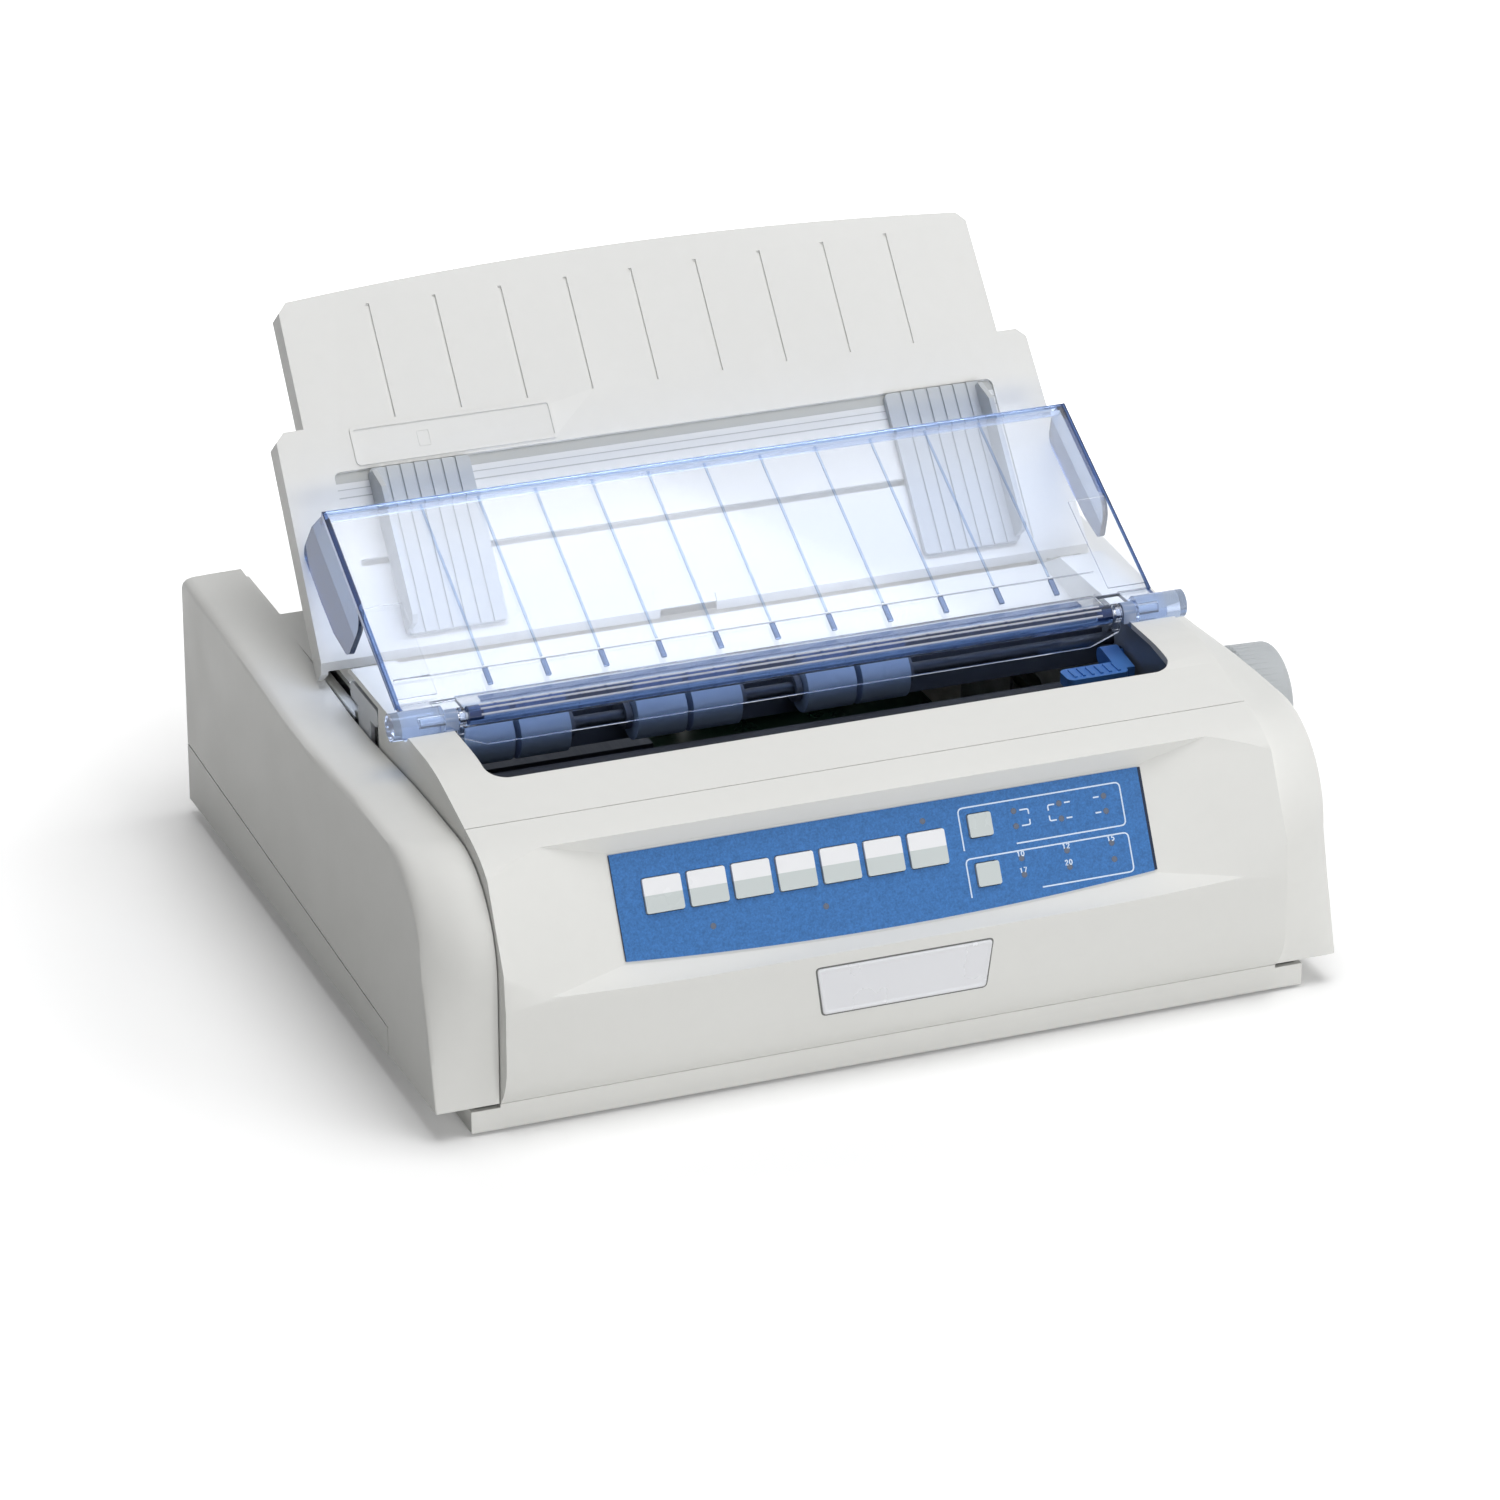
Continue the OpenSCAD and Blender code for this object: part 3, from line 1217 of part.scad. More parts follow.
cmotor_top = 44;
module carriage_motor() {
  color("#4a4d52") place() translate([belt_x, belt_y, 0]) difference() {
    union() {
      translate([-cmotor_r, -cmotor_r, floor_z]) cube([2 * cmotor_r, 2 * cmotor_r, 4]);
      translate([0, 0, floor_z + 1]) cylinder(r = cmotor_r - 0.5, h = cmotor_top - floor_z - 1);
      translate([0, 0, cmotor_top - 1]) cylinder(r = 5, h = 3);
    }
    translate([0, 0, cmotor_top - 22]) cylinder(r = stud_r + run, h = 30);
  }
}
module drive_pulley() {
  color(steel) place() {
    pulley(1);
    translate([belt_x, belt_y, cmotor_top - 20])
      cylinder(r = stud_r, h = belt_z + belt_w / 2 + 2 - cmotor_top + 20);
  }
}
module idle_pulley() {
  color("#d9d9d4") place() difference() {
    pulley(-1);
    translate([-belt_x, belt_y, belt_z - 9]) cylinder(r = 2 + run, h = 20);
  }
}
module carriage_belt() {
  r = pulley_r + belt_gap;
  color(black) place() translate([-belt_x, belt_y, belt_z - belt_w / 2])
    linear_extrude(belt_w) difference() {
      loop_2d(r + belt_t, 2 * belt_x, 0);
      loop_2d(r, 2 * belt_x, 0);
    }
}

// ---- Levers ----
module head_gap_lever() {
  x = frame_x - 6;
  color("#8fb4dc") place() {
    translate([x - 31, 96, 106.5]) linear_extrude(5) rrect(28, 12, 3);
    for (i = [0:5]) translate([x - 27.6 + i * 4, 98, 111]) cube([1.2, 8, 1.2]);
    side(x - 7, x + 1) {
      translate(gap_c) circle(4);
      polygon([[100, 106.5], [gap_c[0], gap_c[1] - 4], [gap_c[0], gap_c[1] + 4], [100, 111.5]]);
    }
    bar(x, frame_x + frame_t + 1.5, gap_c, gap_pin_r);
  }
}
module paper_lever() {
  y = lever_c[0];
  z = lever_c[1];
  color("#d3d6da") place() side(-centre_hw, -centre_hw + wall - 0.2) difference() {
    union() {
      translate(lever_c) circle(6.5);
      polygon([[y - 5, z], [y + 5, z], [y + 8, lever_top - 7], [y - 8, lever_top - 7]]);
      translate([y - 18, lever_top - 8]) rrect(36, 8, 3);
    }
    translate(lever_c) circle(3 + run);
  }
}

// ---- Electrics ----
unit_z = 60;                              // top of the power unit

module power_supply() {
  x = unit_x;
  y = unit_y;
  color("#a9adb1") place() difference() {
    box([x[0], y[0], board_z], [x[1], y[1], unit_z]);
    box([x[0] + 2, y[0] + 2, board_z + 2], [x[1] - 2, y[1] - 2, unit_z - 2]);
    for (i = [x[0] + 10:12:x[1] - 8]) box([i, y[0] + 13, unit_z - 3], [i + 5, y[1] - 14, unit_z + 1]);
  }
  // transformer
  color("#4a4d52") place() {
    box([x[0] + 30, y[0] + 19, board_z + 2], [x[0] + 80, y[1] - 18, board_z + 36]);
    box([x[0] + 38, y[0] + 9, board_z + 9], [x[0] + 72, y[1] - 8, board_z + 29]);
  }
}
module main_board() {
  y0 = board_y[0];
  d = board_y[1] - y0;
  color("#2f6b45") place() {
    difference() {
      box([board_x[0], y0, board_z], [board_x[1], board_y[1], board_z + 1.6]);
      for (p = board_posts) translate([p[0], p[1], board_z - 1]) cylinder(r = 1.5, h = 4);
    }
    // chips: left edge, place along the board's depth, width, depth
    for (p = [[28, 0.13, 40, 14], [88, 0.13, 36, 14], [28, 0.35, 22, 22], [78, 0.32, 46, 16],
              [28, 0.61, 40, 14], [80, 0.565, 52, 12]])
      translate([board_x[0] + p[0], y0 + p[1] * d, board_z + 1]) cube([p[2], p[3], 4.6]);
    // parallel port
    difference() {
      union() {
        box([port_x - 35, rear - 21, board_z + 1], [port_x + 35, rear - wall - 0.4, board_z + 15]);
        box([port_x - 30, rear - 21, board_z + 3], [port_x + 30, rear - 0.2, board_z + 15]);
      }
      box([port_x - 28, rear - 9, board_z + 5], [port_x + 28, rear + 1, board_z + 13]);
    }
    box([port_x - 25, rear - 10, board_z + 8], [port_x + 25, rear - 6, board_z + 10]);
  }
}
module ac_inlet() {
  color("#232426") place() translate([inlet_x, rear, inlet_z]) {
    difference() {
      union() {
        box([-14, -28, -10], [14, -0.2, 10]);
        box([-18, -wall - 3, -14], [18, -wall, 14]);
      }
      translate([0, 1, 0]) rotate([90, 0, 0]) linear_extrude(16)
        polygon([[-12, -8.2], [12, -8.2], [12, 4], [8, 8.2], [-8, 8.2], [-12, 4]]);
    }
    for (p = [[-7, -2], [0, 2], [7, -2]])
      translate([p[0] - 1, -16, p[1] - 2]) cube([2, 10, 4]);
  }
}
module power_switch() {
  color("#1d1e20") place() translate([switch_x, rear - 7, inlet_z]) rotate([0, 0, -7]) {
    translate([0, 0, -8]) linear_extrude(16)
      polygon([[-9.6, 0], [-4, -2], [4, -2], [9.6, 0], [9.6, 5.6], [0, 4.4], [-9.6, 5.6]]);
    translate([0, 0, -9.1]) cylinder(r = 1.2, h = 18.2);
  }
}

base_tray();
rubber_feet();
front_cover();
top_cover();
well_liner();
end_cover_left();
end_cover_right();
rear_cover();
control_panel();
panel_lenses();
panel_board();
key_1();
key_2();
key_3();
key_4();
key_5();
key_6();
key_7();
key_8();
key_9();
nameplate();
access_hood();
hinge_pins();
front_visor();
sheet_guide();
paper_guide_left();
paper_guide_right();
platen_roller();
platen_shaft();
platen_knob();
platen_gear();
side_frame_left();
side_frame_right();
feed_motor();
feed_pinion();
idler_gear();
pull_up_frame();
pull_up_shaft();
pull_up_rollers();
tractor_shaft();
tractor_belt();
tractor_left();
tractor_right();
tractor_door_left();
tractor_door_right();
guide_rods();
carriage();
print_head();
ribbon_cartridge();
carriage_motor();
drive_pulley();
idle_pulley();
carriage_belt();
head_gap_lever();
paper_lever();
power_supply();
main_board();
ac_inlet();
power_switch();
case_screws();
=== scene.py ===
"""Looks of a desktop dot matrix printer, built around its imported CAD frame.

The CAD solids keep their shapes: each one gets smooth normals and a procedural material, and most get rounded
edges. What the solids leave out, such as the print on the control panel, is made here and rides on the body
that carries it.
"""

import math

import bpy
from mathutils import Matrix, Vector


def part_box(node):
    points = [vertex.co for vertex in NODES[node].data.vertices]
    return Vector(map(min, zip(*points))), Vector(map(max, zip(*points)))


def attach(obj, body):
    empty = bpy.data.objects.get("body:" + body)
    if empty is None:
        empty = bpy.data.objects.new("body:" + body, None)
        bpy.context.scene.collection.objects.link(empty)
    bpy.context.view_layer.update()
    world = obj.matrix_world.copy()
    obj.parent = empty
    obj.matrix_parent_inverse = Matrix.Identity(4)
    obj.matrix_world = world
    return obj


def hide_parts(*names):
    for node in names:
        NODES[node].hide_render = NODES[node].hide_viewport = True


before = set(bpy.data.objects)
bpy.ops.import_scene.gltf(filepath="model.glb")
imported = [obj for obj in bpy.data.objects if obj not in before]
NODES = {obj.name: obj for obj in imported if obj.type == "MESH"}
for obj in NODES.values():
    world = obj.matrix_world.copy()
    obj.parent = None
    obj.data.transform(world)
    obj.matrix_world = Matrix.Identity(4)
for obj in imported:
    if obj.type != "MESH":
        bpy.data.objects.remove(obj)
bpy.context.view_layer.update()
MM = 0.001

# ---- Places ----
# The CAD lays the printer out from the middle of its front bottom edge; the frame's origin is elsewhere.
NOSE = 8.0  # how far the front cover's nose stands ahead of that edge, mm
PANEL_TILT = math.radians(62.2)  # slope of the control panel
PANEL_Y, PANEL_Z = 4.0, 64.4  # middle of the overlay's lower edge, mm
OVERLAY_T = 0.6  # how far the overlay stands proud of the recess, mm
GUIDE_TILT = math.radians(50)
GUIDE_Y, GUIDE_Z = 205.6, 117.9  # foot of the sheet guide, mm
HOOD_TILT = math.radians(28.4)
HOOD_Y, HOOD_Z = 128.7, 133.2  # lower edge of the clear panel, mm

case_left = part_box("end_cover_left")[0].x
case_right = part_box("end_cover_right")[1].x
LAYOUT = Vector(((case_left + case_right) / 2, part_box("front_cover")[0].y + NOSE * MM, 0))


def at(x, y, z):
    """A point of the layout, in millimetres from its origin, in the frame's metres."""
    return LAYOUT + Vector((x, y, z)) * MM


def slope(y, z, tilt):
    """The frame of a sloping face: x to the right, y up the slope, z out of it, in millimetres."""
    return (
        Matrix.Translation(at(0, y, z))
        @ Matrix.Rotation(tilt, 4, "X")
        @ Matrix.Scale(MM, 4)
    )


ON_PANEL = slope(PANEL_Y, PANEL_Z, PANEL_TILT)
ON_GUIDE = slope(GUIDE_Y, GUIDE_Z, GUIDE_TILT)
ON_HOOD = slope(HOOD_Y, HOOD_Z, HOOD_TILT)


# ---- Materials ----
def srgb(r, g, b):
    """A linear colour from an 8-bit one."""

    def linear(c):
        c /= 255
        return c / 12.92 if c <= 0.04045 else ((c + 0.055) / 1.055) ** 2.4

    return (linear(r), linear(g), linear(b), 1.0)


def shade(colour, k):
    return tuple(min(1.0, c * k) for c in colour[:3]) + (1.0,)


class Paint:
    """A node material, with short names for the nodes that it uses."""

    def __init__(self, name, **values):
        self.mat = bpy.data.materials.new(name)
        self.mat.use_nodes = True
        self.tree = self.mat.node_tree
        self.bsdf = self.tree.nodes["Principled BSDF"]
        self.place = self.node("ShaderNodeTexCoord").outputs["Object"]
        self.set(self.bsdf, values)

    def set(self, node, values):
        for key, value in values.items():
            socket = node.inputs[key.replace("_", " ") if isinstance(key, str) else key]
            if isinstance(value, bpy.types.NodeSocket):
                self.tree.links.new(value, socket)
            else:
                socket.default_value = value

    def node(self, kind, options=None, **values):
        n = self.tree.nodes.new(kind)
        for key, value in (options or {}).items():
            setattr(n, key, value)
        self.set(n, values)
        return n

    def math(self, operation, a, b=0.0):
        n = self.node("ShaderNodeMath", {"operation": operation})
        self.set(n, {0: a, 1: b})
        return n.outputs[0]

    def stretched(self, x, y, z):
        """Object coordinates scaled along each axis."""
        n = self.node("ShaderNodeVectorMath", {"operation": "MULTIPLY"})
        self.set(n, {0: self.place, 1: (x, y, z)})
        return n.outputs[0]

    def noise(self, scale, detail=3.0, roughness=0.5, vector=None):
        n = self.node("ShaderNodeTexNoise", Vector=vector or self.place)
        self.set(n, {"Scale": scale, "Detail": detail, "Roughness": roughness})
        return n.outputs["Fac"]

    def cells(self, scale, feature="F1", vector=None):
        n = self.node("ShaderNodeTexVoronoi", {"feature": feature}, Vector=vector or self.place)
        n.inputs["Scale"].default_value = scale
        return n.outputs["Distance"]

    def span(self, value, lo, hi, to_lo, to_hi):
        """value, from lo to hi, mapped to the range to_lo to to_hi and kept in it."""
        n = self.node("ShaderNodeMapRange", {"clamp": True})
        self.set(n, {0: value, 1: lo, 2: hi, 3: to_lo, 4: to_hi})
        return n.outputs[0]

    def mix(self, fac, a, b):
        n = self.node("ShaderNodeMix", {"data_type": "RGBA"})
        self.set(n, {0: fac, 6: a, 7: b})
        return n.outputs[2]

    def along(self, direction, origin):
        """How far a point lies from origin in that direction, in metres."""
        n = self.node("ShaderNodeVectorMath", {"operation": "SUBTRACT"})
        self.set(n, {0: self.place, 1: tuple(origin)})
        d = self.node("ShaderNodeVectorMath", {"operation": "DOT_PRODUCT"})
        self.set(d, {0: n.outputs[0], 1: tuple(direction)})
        return d.outputs["Value"]

    def inside(self, lo, hi):
        """1 inside the box between two points of the frame, and 0 outside."""
        xyz = self.node("ShaderNodeSeparateXYZ")
        self.set(xyz, {0: self.place})
        result = None
        for i in range(3):
            over = self.math("GREATER_THAN", xyz.outputs[i], lo[i])
            under = self.math("LESS_THAN", xyz.outputs[i], hi[i])
            both = self.math("MULTIPLY", over, under)
            result = both if result is None else self.math("MULTIPLY", result, both)
        return result

    def bump(self, *layers):
        """Layers of (height, depth in mm) on the surface."""
        normal = None
        for height, depth in layers:
            n = self.node("ShaderNodeBump", Height=height, Distance=depth * MM, Strength=1.0)
            if normal is not None:
                self.set(n, {"Normal": normal})
            normal = n.outputs[0]
        self.set(self.bsdf, {"Normal": normal})


GRAIN_SCALE = 1500  # fineness of the grain on moulded plastic


def plastic(name, colour, rough=0.42, grain=0.006, mottle=0.02, edge_highlight=0.25, zones=(), **more):
    """Moulded plastic: faint tone changes, spark-eroded grain, and paler sharp edges as a painted highlight.

    rub sets how much paler the painted edge highlight makes those edges. zones are (mask, colour) pairs for
    parts of it in another colour."""
    p = Paint(name, **more)
    base = colour
    for mask, other in zones:
        base = p.mix(mask(p), base, other)
    tone = p.math("ADD", p.noise(7, 4), p.math("MULTIPLY", p.noise(160, 3), 0.35))
    dark = p.node("ShaderNodeMix", {"data_type": "RGBA", "blend_type": "MULTIPLY"})
    level = p.span(tone, 0.45, 0.95, 1 - mottle, 1 + mottle)
    grey = p.node("ShaderNodeCombineColor")
    p.set(grey, {0: level, 1: level, 2: level})
    p.set(dark, {0: 1.0, 6: base, 7: grey.outputs[0]})
    tone = dark.outputs[2]
    # Painted highlight: sharp outward edges, where light catches, are made paler.
    if edge_highlight:
        painted_edge_highlight = p.span(p.node("ShaderNodeNewGeometry").outputs["Pointiness"], 0.52, 0.62, 0.0, edge_highlight)
        tone = p.mix(painted_edge_highlight, tone, shade(colour, 1.12))
    p.set(p.bsdf, {"Base Color": tone})
    p.set(p.bsdf, {"Roughness": p.span(p.noise(38, 4), 0.3, 0.7, rough - 0.05, rough + 0.06)})
    p.bump((p.noise(GRAIN_SCALE, 2, 0.6), grain), (p.noise(GRAIN_SCALE / 5, 2), grain * 1.2))
    return p.mat


def metal(name, colour, rough=0.3, streaks=(20, 500, 500), spangle=0.0):
    """Plated or machined metal, with drawn streaks or the spangle of zinc."""
    p = Paint(name, Metallic=1.0)
    drawn = p.noise(1, 4, 0.6, p.stretched(*streaks))
    tone = p.span(drawn, 0.3, 0.7, 0.88, 1.06)
    if spangle:
        tone = p.math("MULTIPLY", tone, p.span(p.cells(spangle), 0.1, 0.7, 0.85, 1.1))
    grey = p.node("ShaderNodeCombineColor")
    p.set(grey, {0: tone, 1: tone, 2: tone})
    m = p.node("ShaderNodeMix", {"data_type": "RGBA", "blend_type": "MULTIPLY"})
    p.set(m, {0: 1.0, 6: colour, 7: grey.outputs[0]})
    p.set(p.bsdf, {"Base Color": m.outputs[2]})
    p.set(p.bsdf, {"Roughness": p.span(drawn, 0.3, 0.7, rough - 0.06, rough + 0.12)})
    p.bump((drawn, 0.01), (p.noise(600, 2), 0.004))
    return p.mat


def rubber(name, colour, rough=0.7):
    """Ground rubber: a fine matt surface with lint-pale specks."""
    p = Paint(name)
    specks = p.span(p.noise(900, 2), 0.68, 0.8, 0.0, 0.35)
    tone = p.mix(p.noise(25, 4), shade(colour, 0.85), shade(colour, 1.15))
    p.set(p.bsdf, {"Base Color": p.mix(specks, tone, shade(colour, 1.7))})
    p.set(p.bsdf, {"Roughness": p.span(p.noise(120, 3), 0.3, 0.7, rough - 0.08, rough + 0.1)})
    p.bump((p.noise(1800, 3, 0.7), 0.012), (p.noise(260, 2), 0.01))
    return p.mat


def clear_plastic(name, tint, depth_mm, lamp_tint, zones=(), haze=0.0):
    """Clear blue styrene: smooth glass that takes its colour from the length of the way through it.

    depth_mm is the way on which white turns into the tint. Lamps shine through it with lamp_tint.
    zones are (mask, colour) pairs: parts of the moulding whose thick sections look deeper.
    haze is the share of the light that it scatters."""
    p = Paint(name, Transmission_Weight=1.0 - haze, IOR=1.5, Roughness=0.03)
    colour = p.mix(p.noise(12, 2), (0.93, 0.935, 0.945, 1), (0.9, 0.91, 0.925, 1))
    for mask, deep in zones:
        colour = p.mix(mask(p), colour, deep)
    p.set(p.bsdf, {"Base Color": colour})
    p.bump((p.noise(26, 1), 0.0025))
    volume = p.node("ShaderNodeVolumeAbsorption", Color=tint, Density=1 / (depth_mm * MM))
    lamp = p.node("ShaderNodeBsdfTransparent", Color=lamp_tint)
    mixed = p.node("ShaderNodeMixShader", Fac=p.node("ShaderNodeLightPath").outputs["Is Shadow Ray"])
    p.set(mixed, {1: p.bsdf.outputs[0], 2: lamp.outputs[0]})
    out = p.tree.nodes["Material Output"]
    p.set(out, {"Surface": mixed.outputs[0], "Volume": volume.outputs[0]})
    return p.mat


# ---- Zones: parts of a moulding that wear another colour ----
HINGE_Y, HINGE_Z = 114, 131  # hinge of the hood, mm
RAIL_HALF = 145  # half length of the hood's hinge rail, mm
HOOD_HALF = 170  # half width of the hood, mm
HOOD_LEN = 106  # length of its clear panel up the slope, mm
HOOD_SIDE = 29.5  # depth of its side walls, down to the edge that catches the light, mm
EAR_HALF = 190  # half width over the ears, mm
RIBS_HALF = 135  # half width of the field of ribs, mm
RIB_FOOT = 12.5  # length of the taller lower end of a rib, mm
NEAR_HINGE = 8  # how far rail and ears reach from the hinge, mm


def unit(place, axis):
    """The direction of one axis of a sloping face."""
    return (place.to_3x3() @ Vector(axis)).normalized()


UP_PANEL, OUT_OF_PANEL = unit(ON_PANEL, (0, 1, 0)), unit(ON_PANEL, (0, 0, 1))
UP_HOOD, OUT_OF_HOOD = unit(ON_HOOD, (0, 1, 0)), unit(ON_HOOD, (0, 0, 1))


def rail_zone(p):
    """The hinge rail between the bearing lugs."""
    return p.inside(
        at(-RAIL_HALF, HINGE_Y - NEAR_HINGE, HINGE_Z - NEAR_HINGE),
        at(RAIL_HALF, HINGE_Y + 3.2, HINGE_Z + 4.6),
    )


def ear_zone(p):
    """The ears round the hinge pins, with what lies between them."""
    return p.inside(
        at(-EAR_HALF, HINGE_Y - NEAR_HINGE, HINGE_Z - NEAR_HINGE),
        at(EAR_HALF, HINGE_Y + NEAR_HINGE, HINGE_Z + NEAR_HINGE),
    )


def off_middle(p):
    """How far a point lies from the middle of the printer, left or right."""
    x = p.node("ShaderNodeSeparateXYZ")
    p.set(x, {0: p.place})
    return p.math("ABSOLUTE", p.math("SUBTRACT", x.outputs[0], LAYOUT.x))


def side_zone(p):
    """The side walls of the hood."""
    return p.math("GREATER_THAN", off_middle(p), (HOOD_HALF - 1.2) * MM)


def corner_zone(p):
    """The corners where the hood's panel meets its side walls, and the free edges of those walls."""
    height = p.along(OUT_OF_HOOD, ON_HOOD.translation)
    high = p.math("GREATER_THAN", height, -2.2 * MM)
    low = p.math("LESS_THAN", height, -HOOD_SIDE * MM)
    aside = p.math("GREATER_THAN", off_middle(p), (HOOD_HALF - 2) * MM)
    return p.math("MULTIPLY", aside, p.math("MAXIMUM", high, low))


def rib_zone(p):
    """What stands up from the clear panel of the hood, apart from the raised fields at its ends."""
    high = p.math("GREATER_THAN", p.along(OUT_OF_HOOD, ON_HOOD.translation), 0.15 * MM)
    return p.math("MULTIPLY", high, p.math("LESS_THAN", off_middle(p), RIBS_HALF * MM))


def rib_end_zone(p):
    """The taller lower ends of the ribs."""
    low = p.math("LESS_THAN", p.along(UP_HOOD, ON_HOOD.translation), RIB_FOOT * MM)
    return p.math("MULTIPLY", rib_zone(p), low)


def top_lip_zone(p):
    """The lip along the upper edge of the hood."""
    return p.math("GREATER_THAN", p.along(UP_HOOD, ON_HOOD.translation), (HOOD_LEN - 2.4) * MM)


def pan_shade_zone(p):
    """The inside of the base, painted dark: painted shade under the mechanism, and the dark shield that lines
    it.
    """
    return p.inside(at(-156, 30, 2.6), at(156, 292, 60))


def lug_zone(p):
    """The bearing lugs that stand up from the deck between the rail and the ears."""
    inner, outer, reach = RAIL_HALF - 1, RAIL_HALF + 10.5, 6
    low, high = (HINGE_Y - reach, HINGE_Z - reach), (HINGE_Y + reach, HINGE_Z + reach)
    left = p.inside(at(-outer, *low), at(-inner, *high))
    right = p.inside(at(inner, *low), at(outer, *high))
    return p.math("MAXIMUM", left, right)


DEEP_BLUE = srgb(54, 78, 122)
CORNER_BLUE = srgb(70, 100, 158)
SIDE_BLUE = srgb(62, 86, 124)
EAR_BLUE = srgb(196, 208, 226)
RIB_BLUE = srgb(174, 196, 228)
RIB_END_BLUE = srgb(84, 104, 146)
LIP_BLUE = srgb(186, 206, 236)

IVORY = srgb(226, 226, 223)
mats = {
    "ivory": plastic("case_ivory", IVORY),
    # The inside of the base is painted dark, partly as painted shade.
    "base": plastic("base_ivory", IVORY, zones=[(pan_shade_zone, srgb(58, 60, 64))]),
    "deck": plastic("deck_ivory", IVORY, zones=[(lug_zone, srgb(120, 140, 176))]),
    "guide": plastic("guide_ivory", srgb(226, 226, 224), rough=0.45),
    "grey": plastic("grey_plastic", srgb(186, 190, 194), rough=0.4),
    "knob": plastic("knob_plastic", srgb(180, 184, 187), rough=0.4),
    "liner": plastic("liner_black", srgb(116, 122, 132), rough=0.35, mottle=0.05),
    "dark": plastic("dark_plastic", srgb(72, 78, 90), rough=0.38, mottle=0.05),
    "mid": plastic("tractor_plastic", srgb(66, 72, 80), rough=0.4, mottle=0.05),
    "nylon": plastic("gear_nylon", srgb(218, 217, 208), rough=0.35, grain=0.003, Subsurface_Weight=0.15),
    "lever": plastic("lever_plastic", srgb(205, 209, 214), rough=0.38),
    "blue": plastic("lever_blue", srgb(72, 122, 192), rough=0.3),
    "steel": metal("zinc_steel", srgb(190, 193, 196), rough=0.34, spangle=55),
    "shaft": metal("ground_shaft", srgb(196, 198, 200), rough=0.18, streaks=(900, 30, 30)),
    "black_steel": metal("black_steel", srgb(78, 84, 96), rough=0.4, streaks=(900, 30, 30)),
    "alloy": metal("cast_alloy", srgb(150, 155, 160), rough=0.42, streaks=(300, 300, 300)),
    "motor": metal("motor_case", srgb(92, 95, 100), rough=0.4, streaks=(200, 60, 60)),
    "rubber": rubber("black_rubber", srgb(56, 58, 62)),
    "belt": rubber("belt_rubber", srgb(34, 34, 36), rough=0.62),
    "roller": rubber("roller_rubber", srgb(142, 160, 184), rough=0.5),
    "lens": plastic("lamp_lens", srgb(88, 98, 118), rough=0.2, grain=0.002, Coat_Weight=0.6),
    "clear": clear_plastic(
        "clear_blue", srgb(158, 178, 212), 30, srgb(218, 226, 240),
        [(rib_zone, RIB_BLUE), (rib_end_zone, RIB_END_BLUE), (top_lip_zone, LIP_BLUE), (side_zone, SIDE_BLUE),
         (corner_zone, CORNER_BLUE), (ear_zone, EAR_BLUE), (rail_zone, DEEP_BLUE)], 0.12),
    "visor": clear_plastic("visor_blue", srgb(92, 122, 168), 9, srgb(190, 204, 230)),
    "ridge": clear_plastic("ridge_blue", srgb(120, 156, 214), 3, srgb(150, 176, 226), haze=0.5),
    "plate": plastic(
        "plate_silver", srgb(226, 227, 231), rough=0.3, grain=0.002, mottle=0.01, edge_highlight=0, Metallic=0.25),
    "seam": plastic("seam_shadow", srgb(112, 113, 112), rough=0.6, grain=0.002, edge_highlight=0),
    "pocket": plastic("pocket_shade_grey", srgb(186, 187, 184), rough=0.5, edge_highlight=0),
}

# Which material each CAD node wears
WEAR = {
    "ivory": ["front_cover", "end_cover_left", "end_cover_right", "rear_cover"],
    "base": ["base_tray"],
    "deck": ["top_cover"],
    "guide": ["sheet_guide"],
    "grey": ["paper_guide_left", "paper_guide_right"],
    "knob": ["platen_knob"],
    "liner": ["well_liner"],
    "dark": ["pull_up_frame", "ribbon_cartridge", "carriage", "ac_inlet", "power_switch"],
    "mid": ["tractor_left", "tractor_right", "tractor_door_left", "tractor_door_right"],
    "nylon": ["platen_gear", "idler_gear", "feed_pinion", "idle_pulley"],
    "lever": ["paper_lever", "hinge_pins"],
    "blue": ["head_gap_lever"],
    "steel": ["side_frame_left", "side_frame_right", "case_screws"],
    "plate": ["nameplate"],
    "shaft": ["platen_shaft", "tractor_shaft", "guide_rods", "drive_pulley"],
    "black_steel": ["pull_up_shaft", "power_supply"],
    "alloy": ["print_head"],
    "motor": ["feed_motor", "carriage_motor"],
    "rubber": ["rubber_feet", "platen_roller"],
    "belt": ["tractor_belt", "carriage_belt"],
    "roller": ["pull_up_rollers"],
    "lens": ["panel_lenses"],
    "clear": ["access_hood"],
    "visor": ["front_visor"],
}

# ---- Control panel ----
OVERLAY_BLUE = srgb(62, 112, 172)


def overlay_paint():
    """Printed polyester over fine texture: a mottled blue."""
    p = Paint("overlay_blue")
    fleck = p.math("ADD", p.noise(1100, 3, 0.7), p.math("MULTIPLY", p.noise(420, 3), 0.5))
    tone = p.mix(p.span(fleck, 0.55, 0.95, 0, 1), shade(OVERLAY_BLUE, 0.78), shade(OVERLAY_BLUE, 1.24))
    p.set(p.bsdf, {"Base Color": tone, "Roughness": p.span(p.noise(60, 3), 0.3, 0.7, 0.42, 0.52)})
    p.bump((p.noise(2600, 2), 0.006))
    return p.mat


KEY_WHITE, KEY_GREY = srgb(238, 239, 242), srgb(202, 209, 209)
KEY_SPLIT_U = 24.6  # where the white half of a key ends, mm up the panel


def key_mask(p):
    """1 on the lower half of the main keys."""
    return p.math("LESS_THAN", p.along(UP_PANEL, ON_PANEL.translation), KEY_SPLIT_U * MM)


